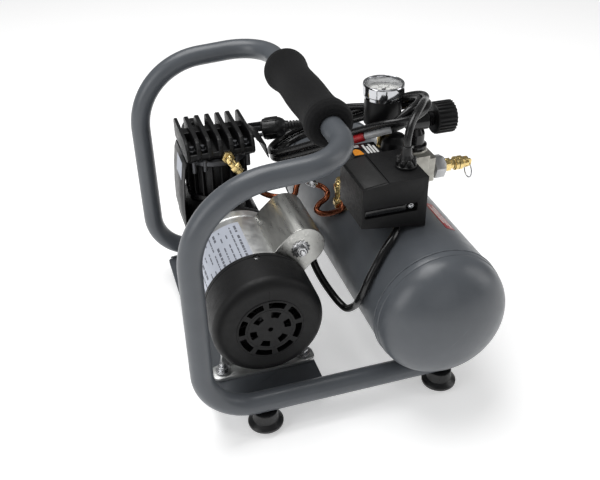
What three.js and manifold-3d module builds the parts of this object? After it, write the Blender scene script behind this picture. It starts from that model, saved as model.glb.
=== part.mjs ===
// Hand-carried electric air compressor: an air tank and a motor-driven piston pump side by side in a
// carry frame bent from one size of round tube, with the air controls on top of the tank.
// Millimetres, +Z up. X runs from the motor side to the tank side, Y runs along the tank and the
// motor shaft. The model is laid out from the left upright of the frame and then centred.
import * as THREE from 'three';
import { mergeVertices } from 'three/addons/utils/BufferGeometryUtils.js';
import Module from 'manifold-3d';

const wasm = await Module();
wasm.setup();

// ---------------------------------------------------------------- driving dimensions
const gap = 0.3; // clearance between pieces that touch

const frame = {
  tube: 11.1, bore: 9.5, // radii of the 22.2 mm tube
  hoopY: 151.1, // the two hoops stand at plus and minus this
  bottomZ: 33.5, bottomEndX: 268,
  shoulderZ: 282.9, gripX: 151.9, gripZ: 293,
  cornerBend: 52.7, shoulderBend: 81.1, elbowBend: 46.3,
};
const tank = { x: 240.8, z: 112.2, radius: 67.3, wall: 2.5, halfLength: 157.3, dome: 50, lip: 0.7 };
const plate = { x0: 11, x1: 129, halfY: 140.6, z0: 24, z1: 27 };
const motor = { x: 74.5, z: 107, radius: 54, wall: 4, y0: -85.7, y1: 12 };
const fanCover = { radius: 57, wall: 2, y0: -131, y1: -80, round: 10 };
const shaft = { radius: 6, y0: -110, y1: 97.5 };
const pump = { y: 98, bore: 25, stroke: 18, crankThrow: 9, caseRadius: 44, caseWall: 4.5, coverY: 131.3 };
const cylinder = { z0: 152, z1: 191.5, root: 31.5, tip: 36.5, fins: 18 };
const head = { x0: 36.5, x1: 114, y0: 58, y1: 141, z0: 198, z1: 223, fins: 7 };
const capacitor = { x: 126.5, z: 159.4, radius: 22, y0: -78, y1: -2 };
const box = { x0: 175.5, x1: 244, y0: -110, y1: -47, z0: 180.5, z1: 237, wall: 2.4, leftZ: 190 };
const switchBase = { x0: 197, x1: 250, y0: -46.7, y1: 16, z0: 192, z1: 213 };
const gauge = { x: 243, y: 8, stem: 5, can: 20, bezel: 22.3, canZ: 242, bezelZ: 277, topZ: 288, socketZ: 208 };
const regulator = { x: 283, y: 8, z: 238, bonnet: 11, knobX0: 303, knobX1: 327, knob: 18 };
const gland = { x: 231, y: -83, height: 21.5 };
const outlet = { y: 2, z: 180, x0: 303.3, length: 15 };
const cord = { radius: 3.8, cable: 4 };
const hank = { ax: 172, ay: 72, az: 203, bx: 253, by: 2, slope: 0.47, inner: 26, outer: 42, thick: 15.4 };

// ---------------------------------------------------------------- materials
const finish = (color, roughness, metalness) => new THREE.MeshStandardMaterial({ color, roughness, metalness });
const greyPaint = finish(0x62666b, 0.35, 0.3);
const blackFoam = finish(0x1b1b1c, 0.9, 0);
const blackRubber = finish(0x101011, 0.5, 0);
const blackPlastic = finish(0x1c1c1d, 0.55, 0);
const blackCast = finish(0x202021, 0.5, 0.5);
const silverCast = finish(0xb4b5b3, 0.4, 0.8);
const zinc = finish(0xa9a69d, 0.5, 0.7);
const steel = finish(0xc5c6c8, 0.3, 1);
const laminated = finish(0x7d7f82, 0.5, 0.8);
const brass = finish(0xbf9a50, 0.3, 1);
const copper = finish(0x9c5f3c, 0.3, 1);
const chrome = finish(0xdadbdd, 0.1, 1);
const glass = finish(0xdfe6e8, 0.05, 0);
const redPlastic = finish(0xa8232a, 0.5, 0);

// ---------------------------------------------------------------- geometry helpers
const v = (x, y, z) => new THREE.Vector3(x, y, z);

// Welds a geometry, drops empty triangles and turns its faces outward.
function asSolid(geometry) {
  const bare = new THREE.BufferGeometry();
  bare.setAttribute('position', geometry.getAttribute('position').clone());
  if (geometry.index) bare.setIndex(geometry.index.clone());
  const welded = mergeVertices(bare, 1e-4);
  const source = welded.index.array;
  const points = welded.getAttribute('position');
  const triangles = [];
  let volume = 0;
  for (let i = 0; i < source.length; i += 3) {
    const [a, b, c] = [source[i], source[i + 1], source[i + 2]];
    if (a === b || b === c || c === a) continue;
    triangles.push(a, b, c);
    const [pa, pb, pc] = [a, b, c].map((k) => new THREE.Vector3().fromBufferAttribute(points, k));
    volume += pa.dot(pb.cross(pc));
  }
  const triVerts = new Uint32Array(volume < 0 ? triangles.reverse() : triangles);
  return new wasm.Manifold(new wasm.Mesh({ numProp: 3, vertProperties: new Float32Array(points.array), triVerts }));
}

function asGeometry(solid) {
  const mesh = solid.getMesh();
  const geometry = new THREE.BufferGeometry();
  geometry.setAttribute('position', new THREE.BufferAttribute(new Float32Array(mesh.vertProperties), 3));
  geometry.setIndex(new THREE.BufferAttribute(new Uint32Array(mesh.triVerts), 1));
  geometry.computeVertexNormals();
  return geometry;
}

const join = (first, ...rest) => asGeometry(rest.reduce((sum, g) => sum.add(asSolid(g)), asSolid(first)));
const cut = (first, ...rest) => asGeometry(rest.reduce((sum, g) => sum.subtract(asSolid(g)), asSolid(first)));
const clean = (geometry) => asGeometry(asSolid(geometry));

// Turns an outline of [radius, height] pairs about one axis.
function turned(axis, outline, sides = 24) {
  const geometry = new THREE.LatheGeometry(outline.map(([r, h]) => new THREE.Vector2(r, h)), sides);
  if (axis === 'z') geometry.rotateX(Math.PI / 2);
  if (axis === 'x') geometry.rotateZ(-Math.PI / 2);
  return geometry;
}

const rod = (axis, radius, from, to, sides = 16) => turned(axis, [[0, from], [radius, from], [radius, to], [0, to]], sides);
const ring = (axis, inner, outer, from, to, sides = 24) =>
  turned(axis, [[inner, from], [outer, from], [outer, to], [inner, to], [inner, from]], sides);

// A box between two corners.
const block = (x0, y0, z0, x1, y1, z1) =>
  new THREE.BoxGeometry(x1 - x0, y1 - y0, z1 - z0).translate((x0 + x1) / 2, (y0 + y1) / 2, (z0 + z1) / 2);

// A flat outline in X and Y, raised along Z.
function raised(outline, from, to) {
  const shape = new THREE.Shape(outline.map(([x, y]) => new THREE.Vector2(x, y)));
  return new THREE.ExtrudeGeometry(shape, { depth: to - from, bevelEnabled: false }).translate(0, 0, from);
}

// A flat outline in X and Z, carried along Y.
const carried = (outline, from, to) => raised(outline, -to, -from).rotateX(Math.PI / 2);

function circlePoints(radius, count, start = 0) {
  return Array.from({ length: count }, (_, i) => {
    const angle = start + (i * 2 * Math.PI) / count;
    return [radius * Math.cos(angle), radius * Math.sin(angle)];
  });
}

function roundedRectangle(x0, y0, x1, y1, radius, steps = 3) {
  const corners = [[x1 - radius, y1 - radius], [x0 + radius, y1 - radius], [x0 + radius, y0 + radius], [x1 - radius, y0 + radius]];
  return corners.flatMap(([cx, cy], quarter) => Array.from({ length: steps + 1 }, (_, i) => {
    const angle = ((quarter + i / steps) * Math.PI) / 2;
    return [cx + radius * Math.cos(angle), cy + radius * Math.sin(angle)];
  }));
}

// A line through corner points with a bend of given radius at each inner corner.
function bentPath(corners, bends, stepsPerBend = 6) {
  const path = [corners[0]];
  for (let i = 1; i < corners.length - 1; i++) {
    const toPrevious = corners[i - 1].clone().sub(corners[i]).normalize();
    const toNext = corners[i + 1].clone().sub(corners[i]).normalize();
    const half = toPrevious.angleTo(toNext) / 2;
    const middle = toPrevious.clone().add(toNext).normalize();
    const centre = corners[i].clone().addScaledVector(middle, bends[i - 1] / Math.sin(half));
    const start = corners[i].clone().addScaledVector(toPrevious, bends[i - 1] / Math.tan(half)).sub(centre);
    const axis = toNext.clone().cross(toPrevious).normalize();
    for (let k = 0; k <= stepsPerBend; k++) {
      path.push(start.clone().applyAxisAngle(axis, ((Math.PI - 2 * half) * k) / stepsPerBend).add(centre));
    }
  }
  path.push(corners[corners.length - 1]);
  return path;
}

// A curve that steps from station to station, so that bends get rings and straights do not.
class StationCurve extends THREE.Curve {
  constructor(stations) {
    super();
    this.stations = stations;
  }

  getPoint(t, target = v(0, 0, 0)) {
    const place = Math.min(Math.max(t, 0), 1) * (this.stations.length - 1);
    const index = Math.min(Math.floor(place), this.stations.length - 2);
    return target.lerpVectors(this.stations[index], this.stations[index + 1], place - index);
  }

  getPointAt(t, target) {
    return this.getPoint(t, target);
  }

  getTangentAt(t, target = v(0, 0, 0)) {
    const last = this.stations.length - 1;
    const index = Math.round(t * last);
    const here = this.stations[index];
    target.set(0, 0, 0);
    if (index > 0) target.add(here.clone().sub(this.stations[index - 1]).normalize());
    if (index < last) target.add(this.stations[index + 1].clone().sub(here).normalize());
    return target.normalize();
  }
}

function tube(stations, radius, sides = 10, bore = 0) {
  const shape = new THREE.Shape(circlePoints(radius, sides).map(([x, y]) => new THREE.Vector2(x, y)));
  if (bore) shape.holes.push(new THREE.Path(circlePoints(bore, sides).map(([x, y]) => new THREE.Vector2(x, y))));
  return new THREE.ExtrudeGeometry(shape, { extrudePath: new StationCurve(stations), steps: stations.length - 1, bevelEnabled: false });
}

// A smooth line through hand-chosen points, cut into equal stations.
const smooth = (points, steps) => new THREE.CatmullRomCurve3(points, false, 'centripetal').getSpacedPoints(steps);

// ---------------------------------------------------------------- assembly
const compressor = new THREE.Group();
compressor.name = 'air_compressor';

function part(name, material, geometry, x = 0, y = 0, z = 0) {
  const mesh = new THREE.Mesh(clean(geometry), material);
  mesh.name = name;
  mesh.position.set(x, y, z);
  compressor.add(mesh);
  return mesh;
}

// ---------------------------------------------------------------- carry frame
const handleHalf = 62; // the hoops meet the handle tube inside the grip

function hoop(side) {
  const y = side * frame.hoopY;
  const corners = [
    v(frame.bottomEndX, y, frame.bottomZ),
    v(0, y, frame.bottomZ),
    v(-1, y, frame.shoulderZ),
    v(frame.gripX, y, frame.gripZ),
    v(frame.gripX, side * (handleHalf + gap), frame.gripZ),
  ];
  return tube(bentPath(corners, [frame.cornerBend, frame.shoulderBend, frame.elbowBend]), frame.tube, 10, frame.bore);
}
part('front_hoop', greyPaint, hoop(-1));
part('rear_hoop', greyPaint, hoop(1));
part('handle_tube', greyPaint, ring('y', frame.bore, frame.tube, -handleHalf, handleHalf, 10), frame.gripX, 0, frame.gripZ);

const gripHalf = 80;
const gripEnd = [[20.3, 44], [22, 54], [23.8, 64], [23.8, 72], [22, 77.5], [18.5, gripHalf], [frame.tube + gap, gripHalf]];
part('handle_grip', blackFoam, turned('y', [
  [frame.tube + gap, -gripHalf],
  ...gripEnd.slice(0, -1).reverse().map(([r, h]) => [r, -h]),
  ...gripEnd,
  [frame.tube + gap, -gripHalf],
], 16), frame.gripX, -8, frame.gripZ);

const boltSpotsX = [motor.x - 44, motor.x + 44];
const boltSpotsY = [-93, 4];
part('base_plate', greyPaint, cut(
  raised(roundedRectangle(plate.x0, -plate.halfY, plate.x1, plate.halfY, 6), plate.z0, plate.z1),
  ...boltSpotsX.flatMap((x) => boltSpotsY.map((y) => rod('z', 3.4, plate.z0 - 2, plate.z1 + 2, 10).translate(x, y, 0))),
));

const footTop = frame.bottomZ - frame.tube - gap;
const footOutline = [[0, 0], [12, 0], [13.2, 2.5], [18.4, 5], [18.4, 8.5], [13.5, 11], [12.5, footTop], [0, footTop]];
const footX = { left: 60.2, right: 254.3 };
for (const [end, side] of [['front', -1], ['rear', 1]]) {
  for (const [place, x] of Object.entries(footX)) {
    part(`foot_${end}_${place}`, blackRubber, turned('z', footOutline, 12), x, side * frame.hoopY, 0);
  }
}

// ---------------------------------------------------------------- air tank
const riser = { x: 240.8, y: 2, radius: 8 };
const checkValve = { x: 190, y: -8, radius: 6.5 };
const drain = { x: 262, y: -120, radius: 5.5 };

part('tank_barrel', greyPaint, cut(
  ring('y', tank.radius - tank.wall, tank.radius, -tank.halfLength, tank.halfLength, 28).translate(tank.x, 0, tank.z),
  rod('z', riser.radius + gap, 150, 190, 12).translate(riser.x, riser.y, 0),
  rod('z', checkValve.radius + gap, 140, 190, 12).translate(checkValve.x, checkValve.y, 0),
  rod('z', drain.radius + gap, 30, 80, 12).translate(drain.x, drain.y, 0),
));

// The domed ends lap over the barrel with a small lip.
function tankEnd(side) {
  const outer = [];
  const inner = [];
  const steps = 5;
  for (let i = 0; i <= steps; i++) {
    const angle = (i / steps) * (Math.PI / 2);
    const along = tank.halfLength + 6;
    outer.push([(tank.radius + tank.lip) * Math.cos(angle), along + (tank.dome - 6) * Math.sin(angle)]);
    inner.push([(tank.radius - tank.wall) * Math.cos(angle), along + (tank.dome - 6 - tank.wall) * Math.sin(angle)]);
  }
  outer[steps][0] = 0;
  inner[steps][0] = 0;
  const start = tank.halfLength + gap;
  const outline = [[inner[0][0], start], [outer[0][0], start], ...outer, ...inner.reverse(), [inner[steps][0], start]];
  return turned('y', outline.map(([r, h]) => [r, side * h]), 28).translate(tank.x, 0, tank.z);
}
part('tank_end_front', greyPaint, tankEnd(-1));
part('tank_end_rear', greyPaint, tankEnd(1));
part('drain_valve_body', brass, turned('z', [[0, 60], [3, 60], [drain.radius, 57], [drain.radius, 46], [8, 45], [8, 38], [4.5, 37], [4.5, 33], [0, 33]], 12),
  drain.x, drain.y, 0);
part('drain_handle', brass, join(
  rod('z', 4.5, 24.5, 32.7, 10),
  block(-12, -1.6, 25, 12, 1.6, 30),
), drain.x, drain.y, 0);

// ---------------------------------------------------------------- electric motor
const atMotor = (geometry) => geometry.translate(motor.x, 0, motor.z);
const bearing = { outer: 14, length: 8 };

// Front wall with its bearing seat and the round body in one casting.
part('motor_housing', silverCast, turned('y', [
  [bearing.outer + gap, motor.y0], [motor.radius, motor.y0], [motor.radius, motor.y1],
  [motor.radius - motor.wall, motor.y1], [motor.radius - motor.wall, motor.y0 + 4],
  [bearing.outer + 4, motor.y0 + 4], [bearing.outer + 4, motor.y0 + 10],
  [bearing.outer + gap, motor.y0 + 10], [bearing.outer + gap, motor.y0],
], 24), motor.x, 0, motor.z);

function motorFoot(y0, y1) {
  const half = 56;
  const deck = raised(roundedRectangle(-half, y0, half, y1, 5), plate.z1 + gap, plate.z1 + 4.3).translate(motor.x, 0, 0);
  const web = carried([[-46, plate.z1 + 2], [46, plate.z1 + 2], [40, 74], [-40, 74]], y1 - 5, y1).translate(motor.x, 0, 0);
  const holes = boltSpotsX.map((x) => rod('z', 3.4, plate.z1 - 2, plate.z1 + 8, 10).translate(x, (y0 + y1) / 2, 0));
  return cut(join(deck, web), atMotor(rod('y', fanCover.radius + gap + 0.4, y0 - 5, y1 + 5, 24)), ...holes);
}
part('motor_foot_front', silverCast, motorFoot(-104, -82));
part('motor_foot_rear', silverCast, motorFoot(-7, 15));

part('stator', laminated, ring('y', 28.6, motor.radius - motor.wall - gap, -66, -6, 24), motor.x, 0, motor.z);
part('rotor', laminated, join(rod('y', shaft.radius, shaft.y0, shaft.y1, 12), rod('y', 28, -66, -6, 24)), motor.x, 0, motor.z);
part('front_bearing', steel, ring('y', shaft.radius + gap, bearing.outer, motor.y0 + 1, motor.y0 + 1 + bearing.length, 16), motor.x, 0, motor.z);
part('rear_bearing', steel, ring('y', shaft.radius + gap, bearing.outer, 12.6, 12.6 + bearing.length, 16), motor.x, 0, motor.z);

function fan() {
  const blades = Array.from({ length: 7 }, (_, i) => block(8, -1, -0.8, 40, 13, 0.8)
    .rotateY((i * 2 * Math.PI) / 7).translate(0, -105, 0));
  return join(ring('y', shaft.radius + gap, 10, -106, -90.5, 14), ring('y', 9, 40, -92, -90.5, 28), ...blades);
}
part('cooling_fan', blackPlastic, fan(), motor.x, 0, motor.z);

// The fan cover is a cup with a rounded rim, a ring of curved slots, six round holes and a centre hole.
function curvedSlot(r0, r1, from, sweep) {
  const steps = 3;
  const arc = (radius, i) => {
    const angle = from + (sweep * i) / steps;
    return [radius * Math.cos(angle), radius * Math.sin(angle)];
  };
  const outline = [];
  for (let i = 0; i <= steps; i++) outline.push(arc(r1, i));
  for (let i = steps; i >= 0; i--) outline.push(arc(r0, i));
  return carried(outline, fanCover.y0 - 3, fanCover.y0 + 5);
}
function fanCoverShape() {
  const { radius, wall, y0, y1, round } = fanCover;
  const outer = [[0, y0]];
  const inner = [];
  for (let i = 0; i <= 4; i++) {
    const angle = (i / 4) * (Math.PI / 2);
    outer.push([radius - round + round * Math.sin(angle), y0 + round - round * Math.cos(angle)]);
    inner.push([radius - round + (round - wall) * Math.sin(angle), y0 + round - (round - wall) * Math.cos(angle)]);
  }
  const cup = turned('y', [...outer, [radius, y1], [radius - wall, y1], ...inner.reverse(), [0, y0 + wall]], 24);
  const slots = Array.from({ length: 8 }, (_, i) => curvedSlot(23, 29, ((i + 0.12) * Math.PI) / 4, (0.76 * Math.PI) / 4));
  const holes = Array.from({ length: 6 }, (_, i) => rod('y', 3.6, y0 - 3, y0 + 5, 6)
    .translate(15.5 * Math.cos((i * Math.PI) / 3), 0, 15.5 * Math.sin((i * Math.PI) / 3)));
  return cut(cup, ...slots, ...holes, rod('y', 2.6, y0 - 3, y0 + 5, 8));
}
part('fan_cover', blackPlastic, fanCoverShape(), motor.x, 0, motor.z);

for (const [place, x] of [['left', boltSpotsX[0]], ['right', boltSpotsX[1]]]) {
  const headZ = plate.z1 + 4.3 + gap;
  const outline = [[0, 17], [3, 17], [3, headZ], [5.6, headZ], [5.6, headZ + 4.5], [0, headZ + 4.5]];
  part(`motor_bolt_${place}`, steel, turned('z', outline, 6), x, boltSpotsY[0], 0);
}

// The capacitor sits in a half-round cover on the shoulder of the motor.
function capacitorCoverShape() {
  const { radius, y0, y1 } = capacitor;
  const side = { x: 11, z: -27 }; // where the skirt reaches the motor body
  const skirt = [];
  for (let i = 0; i <= 8; i++) {
    const angle = -0.35 * Math.PI + (i / 8) * Math.PI * 1.1;
    skirt.push([radius * Math.cos(angle), radius * Math.sin(angle)]);
  }
  const outline = [...skirt, [-32, -4], [-26, -24], [side.x - 18, side.z - 6]];
  const shell = carried(outline, y0, y1);
  const hollow = rod('y', radius - 3, y0 + 3, y1 - 3, 20);
  const motorBody = rod('y', motor.radius + gap, y0 - 5, y1 + 5, 48).translate(motor.x - capacitor.x, 0, motor.z - capacitor.z);
  const drainSlot = block(6, -30, -30, 14, -22, -12);
  return cut(shell, motorBody, hollow, drainSlot);
}
part('capacitor_cover', silverCast, capacitorCoverShape(), capacitor.x, 0, capacitor.z);
part('capacitor', blackPlastic, rod('y', capacitor.radius - 3.6, capacitor.y0 + 5, capacitor.y1 - 5, 20), capacitor.x, 0, capacitor.z);

// ---------------------------------------------------------------- piston pump
const caseFront = motor.y1 + gap;
function crankcaseShape() {
  const { caseRadius, caseWall } = pump;
  const barrel = rod('y', caseRadius, caseFront, pump.coverY - gap, 24).translate(0, 0, motor.z);
  const neck = rod('z', 33, motor.z, cylinder.z0 - gap, 20).translate(0, pump.y, 0);
  const flange = rod('y', motor.radius, caseFront, caseFront + 6, 24).translate(0, 0, motor.z);
  const inside = rod('y', caseRadius - caseWall, caseFront + 9, pump.coverY + 5, 20).translate(0, 0, motor.z);
  const neckBore = rod('z', 28, motor.z, cylinder.z0 + 5, 16).translate(0, pump.y, 0);
  const seat = rod('y', bearing.outer + gap, caseFront - 3, caseFront + 12, 16).translate(0, 0, motor.z);
  return cut(join(barrel, neck, flange), inside, neckBore, seat).translate(motor.x, 0, 0);
}
part('crankcase', blackCast, crankcaseShape());
part('crankcase_cover', silverCast, turned('y', [[0, 139], [34, 139], [36, 137.5], [40, 137.5], [43.5, 135], [43.5, pump.coverY], [0, pump.coverY]], 28),
  motor.x, 0, motor.z);

part('crank', steel, join(
  ring('y', shaft.radius + gap, 20, 88, 96, 24),
  rod('y', 5.5, 95, 108, 12).translate(0, 0, pump.crankThrow + 5),
), motor.x, 0, motor.z);
const restZ = { crown: 182, foot: 138 };
part('piston', silverCast, join(
  rod('z', pump.bore - gap, restZ.crown - 8, restZ.crown, 24),
  block(-6, -5, restZ.foot, 6, 5, restZ.crown - 6),
), motor.x, pump.y, 0);

function finnedCylinder() {
  const outline = [];
  const pitch = (2 * Math.PI) / cylinder.fins;
  for (let i = 0; i < cylinder.fins; i++) {
    for (const [radius, offset] of [[cylinder.root, 0], [cylinder.tip, 0.06], [cylinder.tip, 0.38], [cylinder.root, 0.44]]) {
      const angle = (i + offset) * pitch;
      outline.push([radius * Math.cos(angle), radius * Math.sin(angle)]);
    }
  }
  return cut(raised(outline, cylinder.z0, cylinder.z1), rod('z', pump.bore, cylinder.z0 - 2, cylinder.z1 + 2, 28));
}
part('cylinder', blackCast, finnedCylinder(), motor.x, pump.y, 0);
part('valve_plate', zinc, cut(
  rod('z', 38, cylinder.z1 + gap, head.z0 - gap, 28),
  rod('z', 4, cylinder.z1 - 2, head.z0 + 2, 8).translate(-12, 0, 0),
  rod('z', 4, cylinder.z1 - 2, head.z0 + 2, 8).translate(12, 0, 0),
), motor.x, pump.y, 0);

// The head: a slab, a row of fins along Y that drop over its near edge, and a centre rib that ties them.
function headShape() {
  const slabTop = head.z0 + 8;
  const slab = block(head.x0 + 2, head.y0 + 6, head.z0, head.x1 - 2, head.y1 - 4, slabTop);
  const pitch = (head.x1 - head.x0 - 4) / (head.fins - 1);
  const finOutline = [[head.y0 + 4, head.z0], [head.y0, head.z0 + 6], [head.y0 + 3, head.z1 - 6], [head.y0 + 11, head.z1],
    [head.y1 - 3, head.z1], [head.y1, head.z1 - 3], [head.y1, head.z0]];
  const fins = Array.from({ length: head.fins }, (_, i) => {
    const fin = carried(finOutline, -2, 2).rotateZ(Math.PI / 2);
    return fin.translate(head.x0 + 2 + i * pitch, 0, 0);
  });
  const tie = block(head.x0 + 2, head.y0 + 2, slabTop - 1, head.x1 - 2, head.y0 + 30, head.z1 - 6);
  return join(slab, tie, ...fins);
}
part('cylinder_head', blackCast, headShape());

// The sheet shroud leaves the right side of the head and slopes down and outward.
part('head_shroud', blackPlastic, carried(
  [[head.x1 + gap, head.z1 - 4], [head.x1 + 9, head.z1 - 12], [head.x1 + 12, head.z0 - 2], [head.x1 + 14, head.z0 - 2],
    [head.x1 + 11, head.z1 - 10], [head.x1 + gap, head.z1 - 1.5]],
  head.y0 - 4, head.y0 + 38,
));
part('intake_filter', blackPlastic, turned('y', [[0, 141.3], [9, 141.3], [9, 146], [13, 148], [13, 160], [11, 162], [0, 162]], 16), motor.x - 14, 0, 196);

// ---------------------------------------------------------------- compressed air line
const elbowPath = bentPath([v(81.4, 57.7, 203.5), v(81.4, 49, 203.5), v(93, 44, 187)], [5], 4);
part('head_elbow', brass, tube(elbowPath, 5.4, 10));
const linePoints = [
  v(93.3, 43.8, 186.6), v(102.5, 38, 175.5), v(112.8, 31, 166), v(122.5, 27, 162), v(132, 23, 161.5), v(141, 20, 160.5), v(147, 20, 164.5),
  v(149.5, 22, 172), v(155, 24, 179), v(163, 24, 178.5), v(171, 22, 171.5), v(178.5, 18, 168.5), v(182, 11.5, 165), v(180, 7, 161),
  v(172, 11, 151), v(168.5, 9, 146), v(170.5, 3, 144.5), v(176, -4, 146.5), v(182.5, -15, 154), v(187.5, -22.5, 162), v(190, -20, 167.5),
  v(190, -14.9, 168.5),
];
part('discharge_tube', copper, tube(smooth(linePoints, 44), 3.2, 6));
part('check_valve', brass, turned('z', [[0, 153], [4, 153], [checkValve.radius, 155], [checkValve.radius, 186], [4.5, 187.5], [4.5, 191], [0, 191]], 12),
  checkValve.x, checkValve.y, 0);

// ---------------------------------------------------------------- pressure switch
function switchCoverShape() {
  const { x0, x1, y0, y1, z0, z1, wall, leftZ } = box;
  const skirt = carried([[x0 - 5, z0 - 10], [x1 + 5, z0 - 10], [x1 + 5, z0], [x0 - 5, leftZ]], y0 - 5, y1 + 5);
  const shell = cut(raised(roundedRectangle(x0, y0, x1, y1, 3, 2), z0 - 1, z1), skirt);
  const hollow = block(x0 + wall, y0 + wall + 4, z0 - 5, x1 - wall, y1 - wall, z1 - wall);
  const recess = block(x0 + 3, y0 - 1, z0 + 20, x1 - 12, y0 + 3.5, z0 + 29);
  const groove = block(x0 + 26, y0 + 3, z1 - 1.2, x0 + 27.5, y1 + 1, z1 + 1);
  const glandHole = rod('z', 5, z1 - 5, z1 + 3, 12).translate(gland.x, gland.y, 0);
  return cut(shell, hollow, recess, groove, glandHole);
}
part('pressure_switch_cover', blackPlastic, switchCoverShape());
// The base stands on a hollow riser from the tank and carries the round diaphragm housing.
part('pressure_switch_base', blackPlastic, cut(
  join(
    raised(roundedRectangle(switchBase.x0, switchBase.y0, switchBase.x1, switchBase.y1, 4, 2), switchBase.z0, switchBase.z1),
    turned('z', [[0, 212], [16, 212], [16, 219], [14.3, 226], [9.5, 231.5], [0, 233]], 24).translate(gauge.x + 11, gauge.y - 12, 0),
    block(190, switchBase.y0, switchBase.z0, 222, -20, 236.5),
    rod('z', riser.radius, 168, switchBase.z0 + 1, 12).translate(riser.x, riser.y, 0),
  ),
  rod('z', 4, 160, switchBase.z0 + 12, 10).translate(riser.x, riser.y, 0),
  rod('z', gauge.stem + gap, gauge.socketZ, 240, 14).translate(gauge.x, gauge.y, 0),
));
part('switch_lever', redPlastic, join(rod('x', 6, 0, 4.5, 16), block(0.5, -2.6, 0, 4, 2.6, 19)), box.x1 + gap, -84, 208);
part('cable_gland', blackRubber, join(
  turned('z', [[0, 0], [11, 0], [11, 5], [0, 5]], 6),
  turned('z', [[0, 4], [8.5, 4], [8, 9], [5.4, gland.height], [0, gland.height]], 14),
), gland.x, gland.y, box.z1 + gap);

// ---------------------------------------------------------------- regulator, gauge and outlet
part('manifold', zinc, join(
  block(switchBase.x1 + gap, -11, 181, 303, 23, 199),
  block(280, -11, 168.5, 303, 15, 182),
  rod('z', 14, 190, 206, 20).translate(regulator.x, regulator.y, 0),
));
part('regulator_body', blackPlastic, join(
  turned('z', [[0, 206.3], [11, 206.3], [11, 224], [8, 228], [8, regulator.z], [0, regulator.z]], 20).translate(regulator.x, regulator.y, 0),
  turned('x', [[0, -11], [9, -11], [regulator.bonnet, -8], [regulator.bonnet, 12], [8, 14], [8, 20], [0, 20]], 20)
    .translate(regulator.x, regulator.y, regulator.z),
));

function knobShape() {
  const ribs = 20;
  const outline = [];
  for (let i = 0; i < ribs; i++) {
    for (const [radius, offset] of [[regulator.knob - 1.2, 0], [regulator.knob, 0.15], [regulator.knob, 0.55], [regulator.knob - 1.2, 0.7]]) {
      const angle = ((i + offset) * 2 * Math.PI) / ribs;
      outline.push([radius * Math.cos(angle), radius * Math.sin(angle)]);
    }
  }
  const length = regulator.knobX1 - regulator.knobX0;
  return raised(outline, 0, length).rotateY(Math.PI / 2);
}
part('regulator_knob', blackPlastic, knobShape(), regulator.knobX0, regulator.y, regulator.z);

part('gauge_case', chrome, turned('z', [
  [0, gauge.socketZ + gap], [gauge.stem, gauge.socketZ + gap], [gauge.stem, gauge.canZ], [gauge.can, gauge.canZ], [gauge.can, gauge.bezelZ], [gauge.bezel, gauge.bezelZ],
  [gauge.bezel, gauge.topZ - 1], [gauge.bezel - 1.2, gauge.topZ], [gauge.bezel - 2.3, gauge.topZ], [gauge.bezel - 2.3, gauge.bezelZ + 1], [0, gauge.bezelZ + 1],
], 20), gauge.x, gauge.y, 0);
part('gauge_needle', blackPlastic, join(rod('z', 2.2, 0, 2, 10), block(-0.9, -5, 0.4, 0.9, 14.5, 1.4)).rotateZ(0.75 * Math.PI), gauge.x, gauge.y, gauge.bezelZ + 1.6);
part('gauge_lens', glass, rod('z', gauge.bezel - 2.7, gauge.topZ - 3.4, gauge.topZ - 1.8, 20), gauge.x, gauge.y, 0);

part('outlet_adapter', zinc, turned('x', [[0, 0], [13.5, 0], [13.5, outlet.length - 1.5], [11, outlet.length], [0, outlet.length]], 6).rotateX(Math.PI / 6), outlet.x0, outlet.y, outlet.z);
const valveX = outlet.x0 + outlet.length + gap;
part('safety_valve_body', brass, turned('x', [
  [3, 30], [3, 8], [0, 8], [0, 0], [8.5, 0], [8.5, 7], [6.6, 8.5], [6.6, 11], [8, 12.5], [8, 22], [6.2, 24], [6.2, 30], [3, 30],
], 16), valveX, outlet.y, outlet.z);
part('safety_valve_stem', brass, cut(
  join(rod('x', 2.6, 9, 31, 10), block(30, -1.6, -6, 35, 1.6, 3)),
  rod('y', 1.5, -3, 3, 10).translate(32.5, 0, -3.2),
), valveX, outlet.y, outlet.z);
const pullRing = { radius: 8.5, wire: 0.9 };
part('pull_ring', steel, new THREE.TorusGeometry(pullRing.radius, pullRing.wire, 6, 16).rotateY(Math.PI / 2), valveX + 32.5, outlet.y, outlet.z - 3.2 - pullRing.radius);

// The regulated air leaves through a quick coupler on the far side of the manifold.
const coupler = { x: 268, z: 191.5, y0: 23.3 };
part('quick_coupler', brass, turned('y', [
  [0, 0], [9, 0], [9, 7], [7, 8], [7, 24], [7.6, 24.5], [7.6, 26], [4.2, 26], [4.2, 6], [0, 6],
], 16), coupler.x, coupler.y0, coupler.z);
part('coupler_sleeve', steel, ring('y', 7.9, 10.5, 12, 22, 20), coupler.x, coupler.y0, coupler.z);

// ---------------------------------------------------------------- cables
function besideTank(degrees, y) {
  const reach = tank.radius + cord.cable + 1;
  const angle = THREE.MathUtils.degToRad(degrees);
  return v(tank.x + reach * Math.cos(angle), y, tank.z + reach * Math.sin(angle));
}
const cablePoints = [
  v(142.5, -52, 133), v(144.5, -56, 120), v(149, -66, 107.5), v(155, -80, 97), v(160, -92, 91), v(164.3, -102, 89.5),
  ...[[189, -114], [176, -126], [164, -132], [152, -131.5], [140, -128], [128, -121], [118, -114]].map(([angle, y]) => besideTank(angle, y)),
  v(215, -105, 179), v(217, -98, 181), v(217, -92, 186), v(217, -89, 196),
];
part('motor_cable', blackRubber, tube(smooth(cablePoints, 34), cord.cable, 8));

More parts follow.
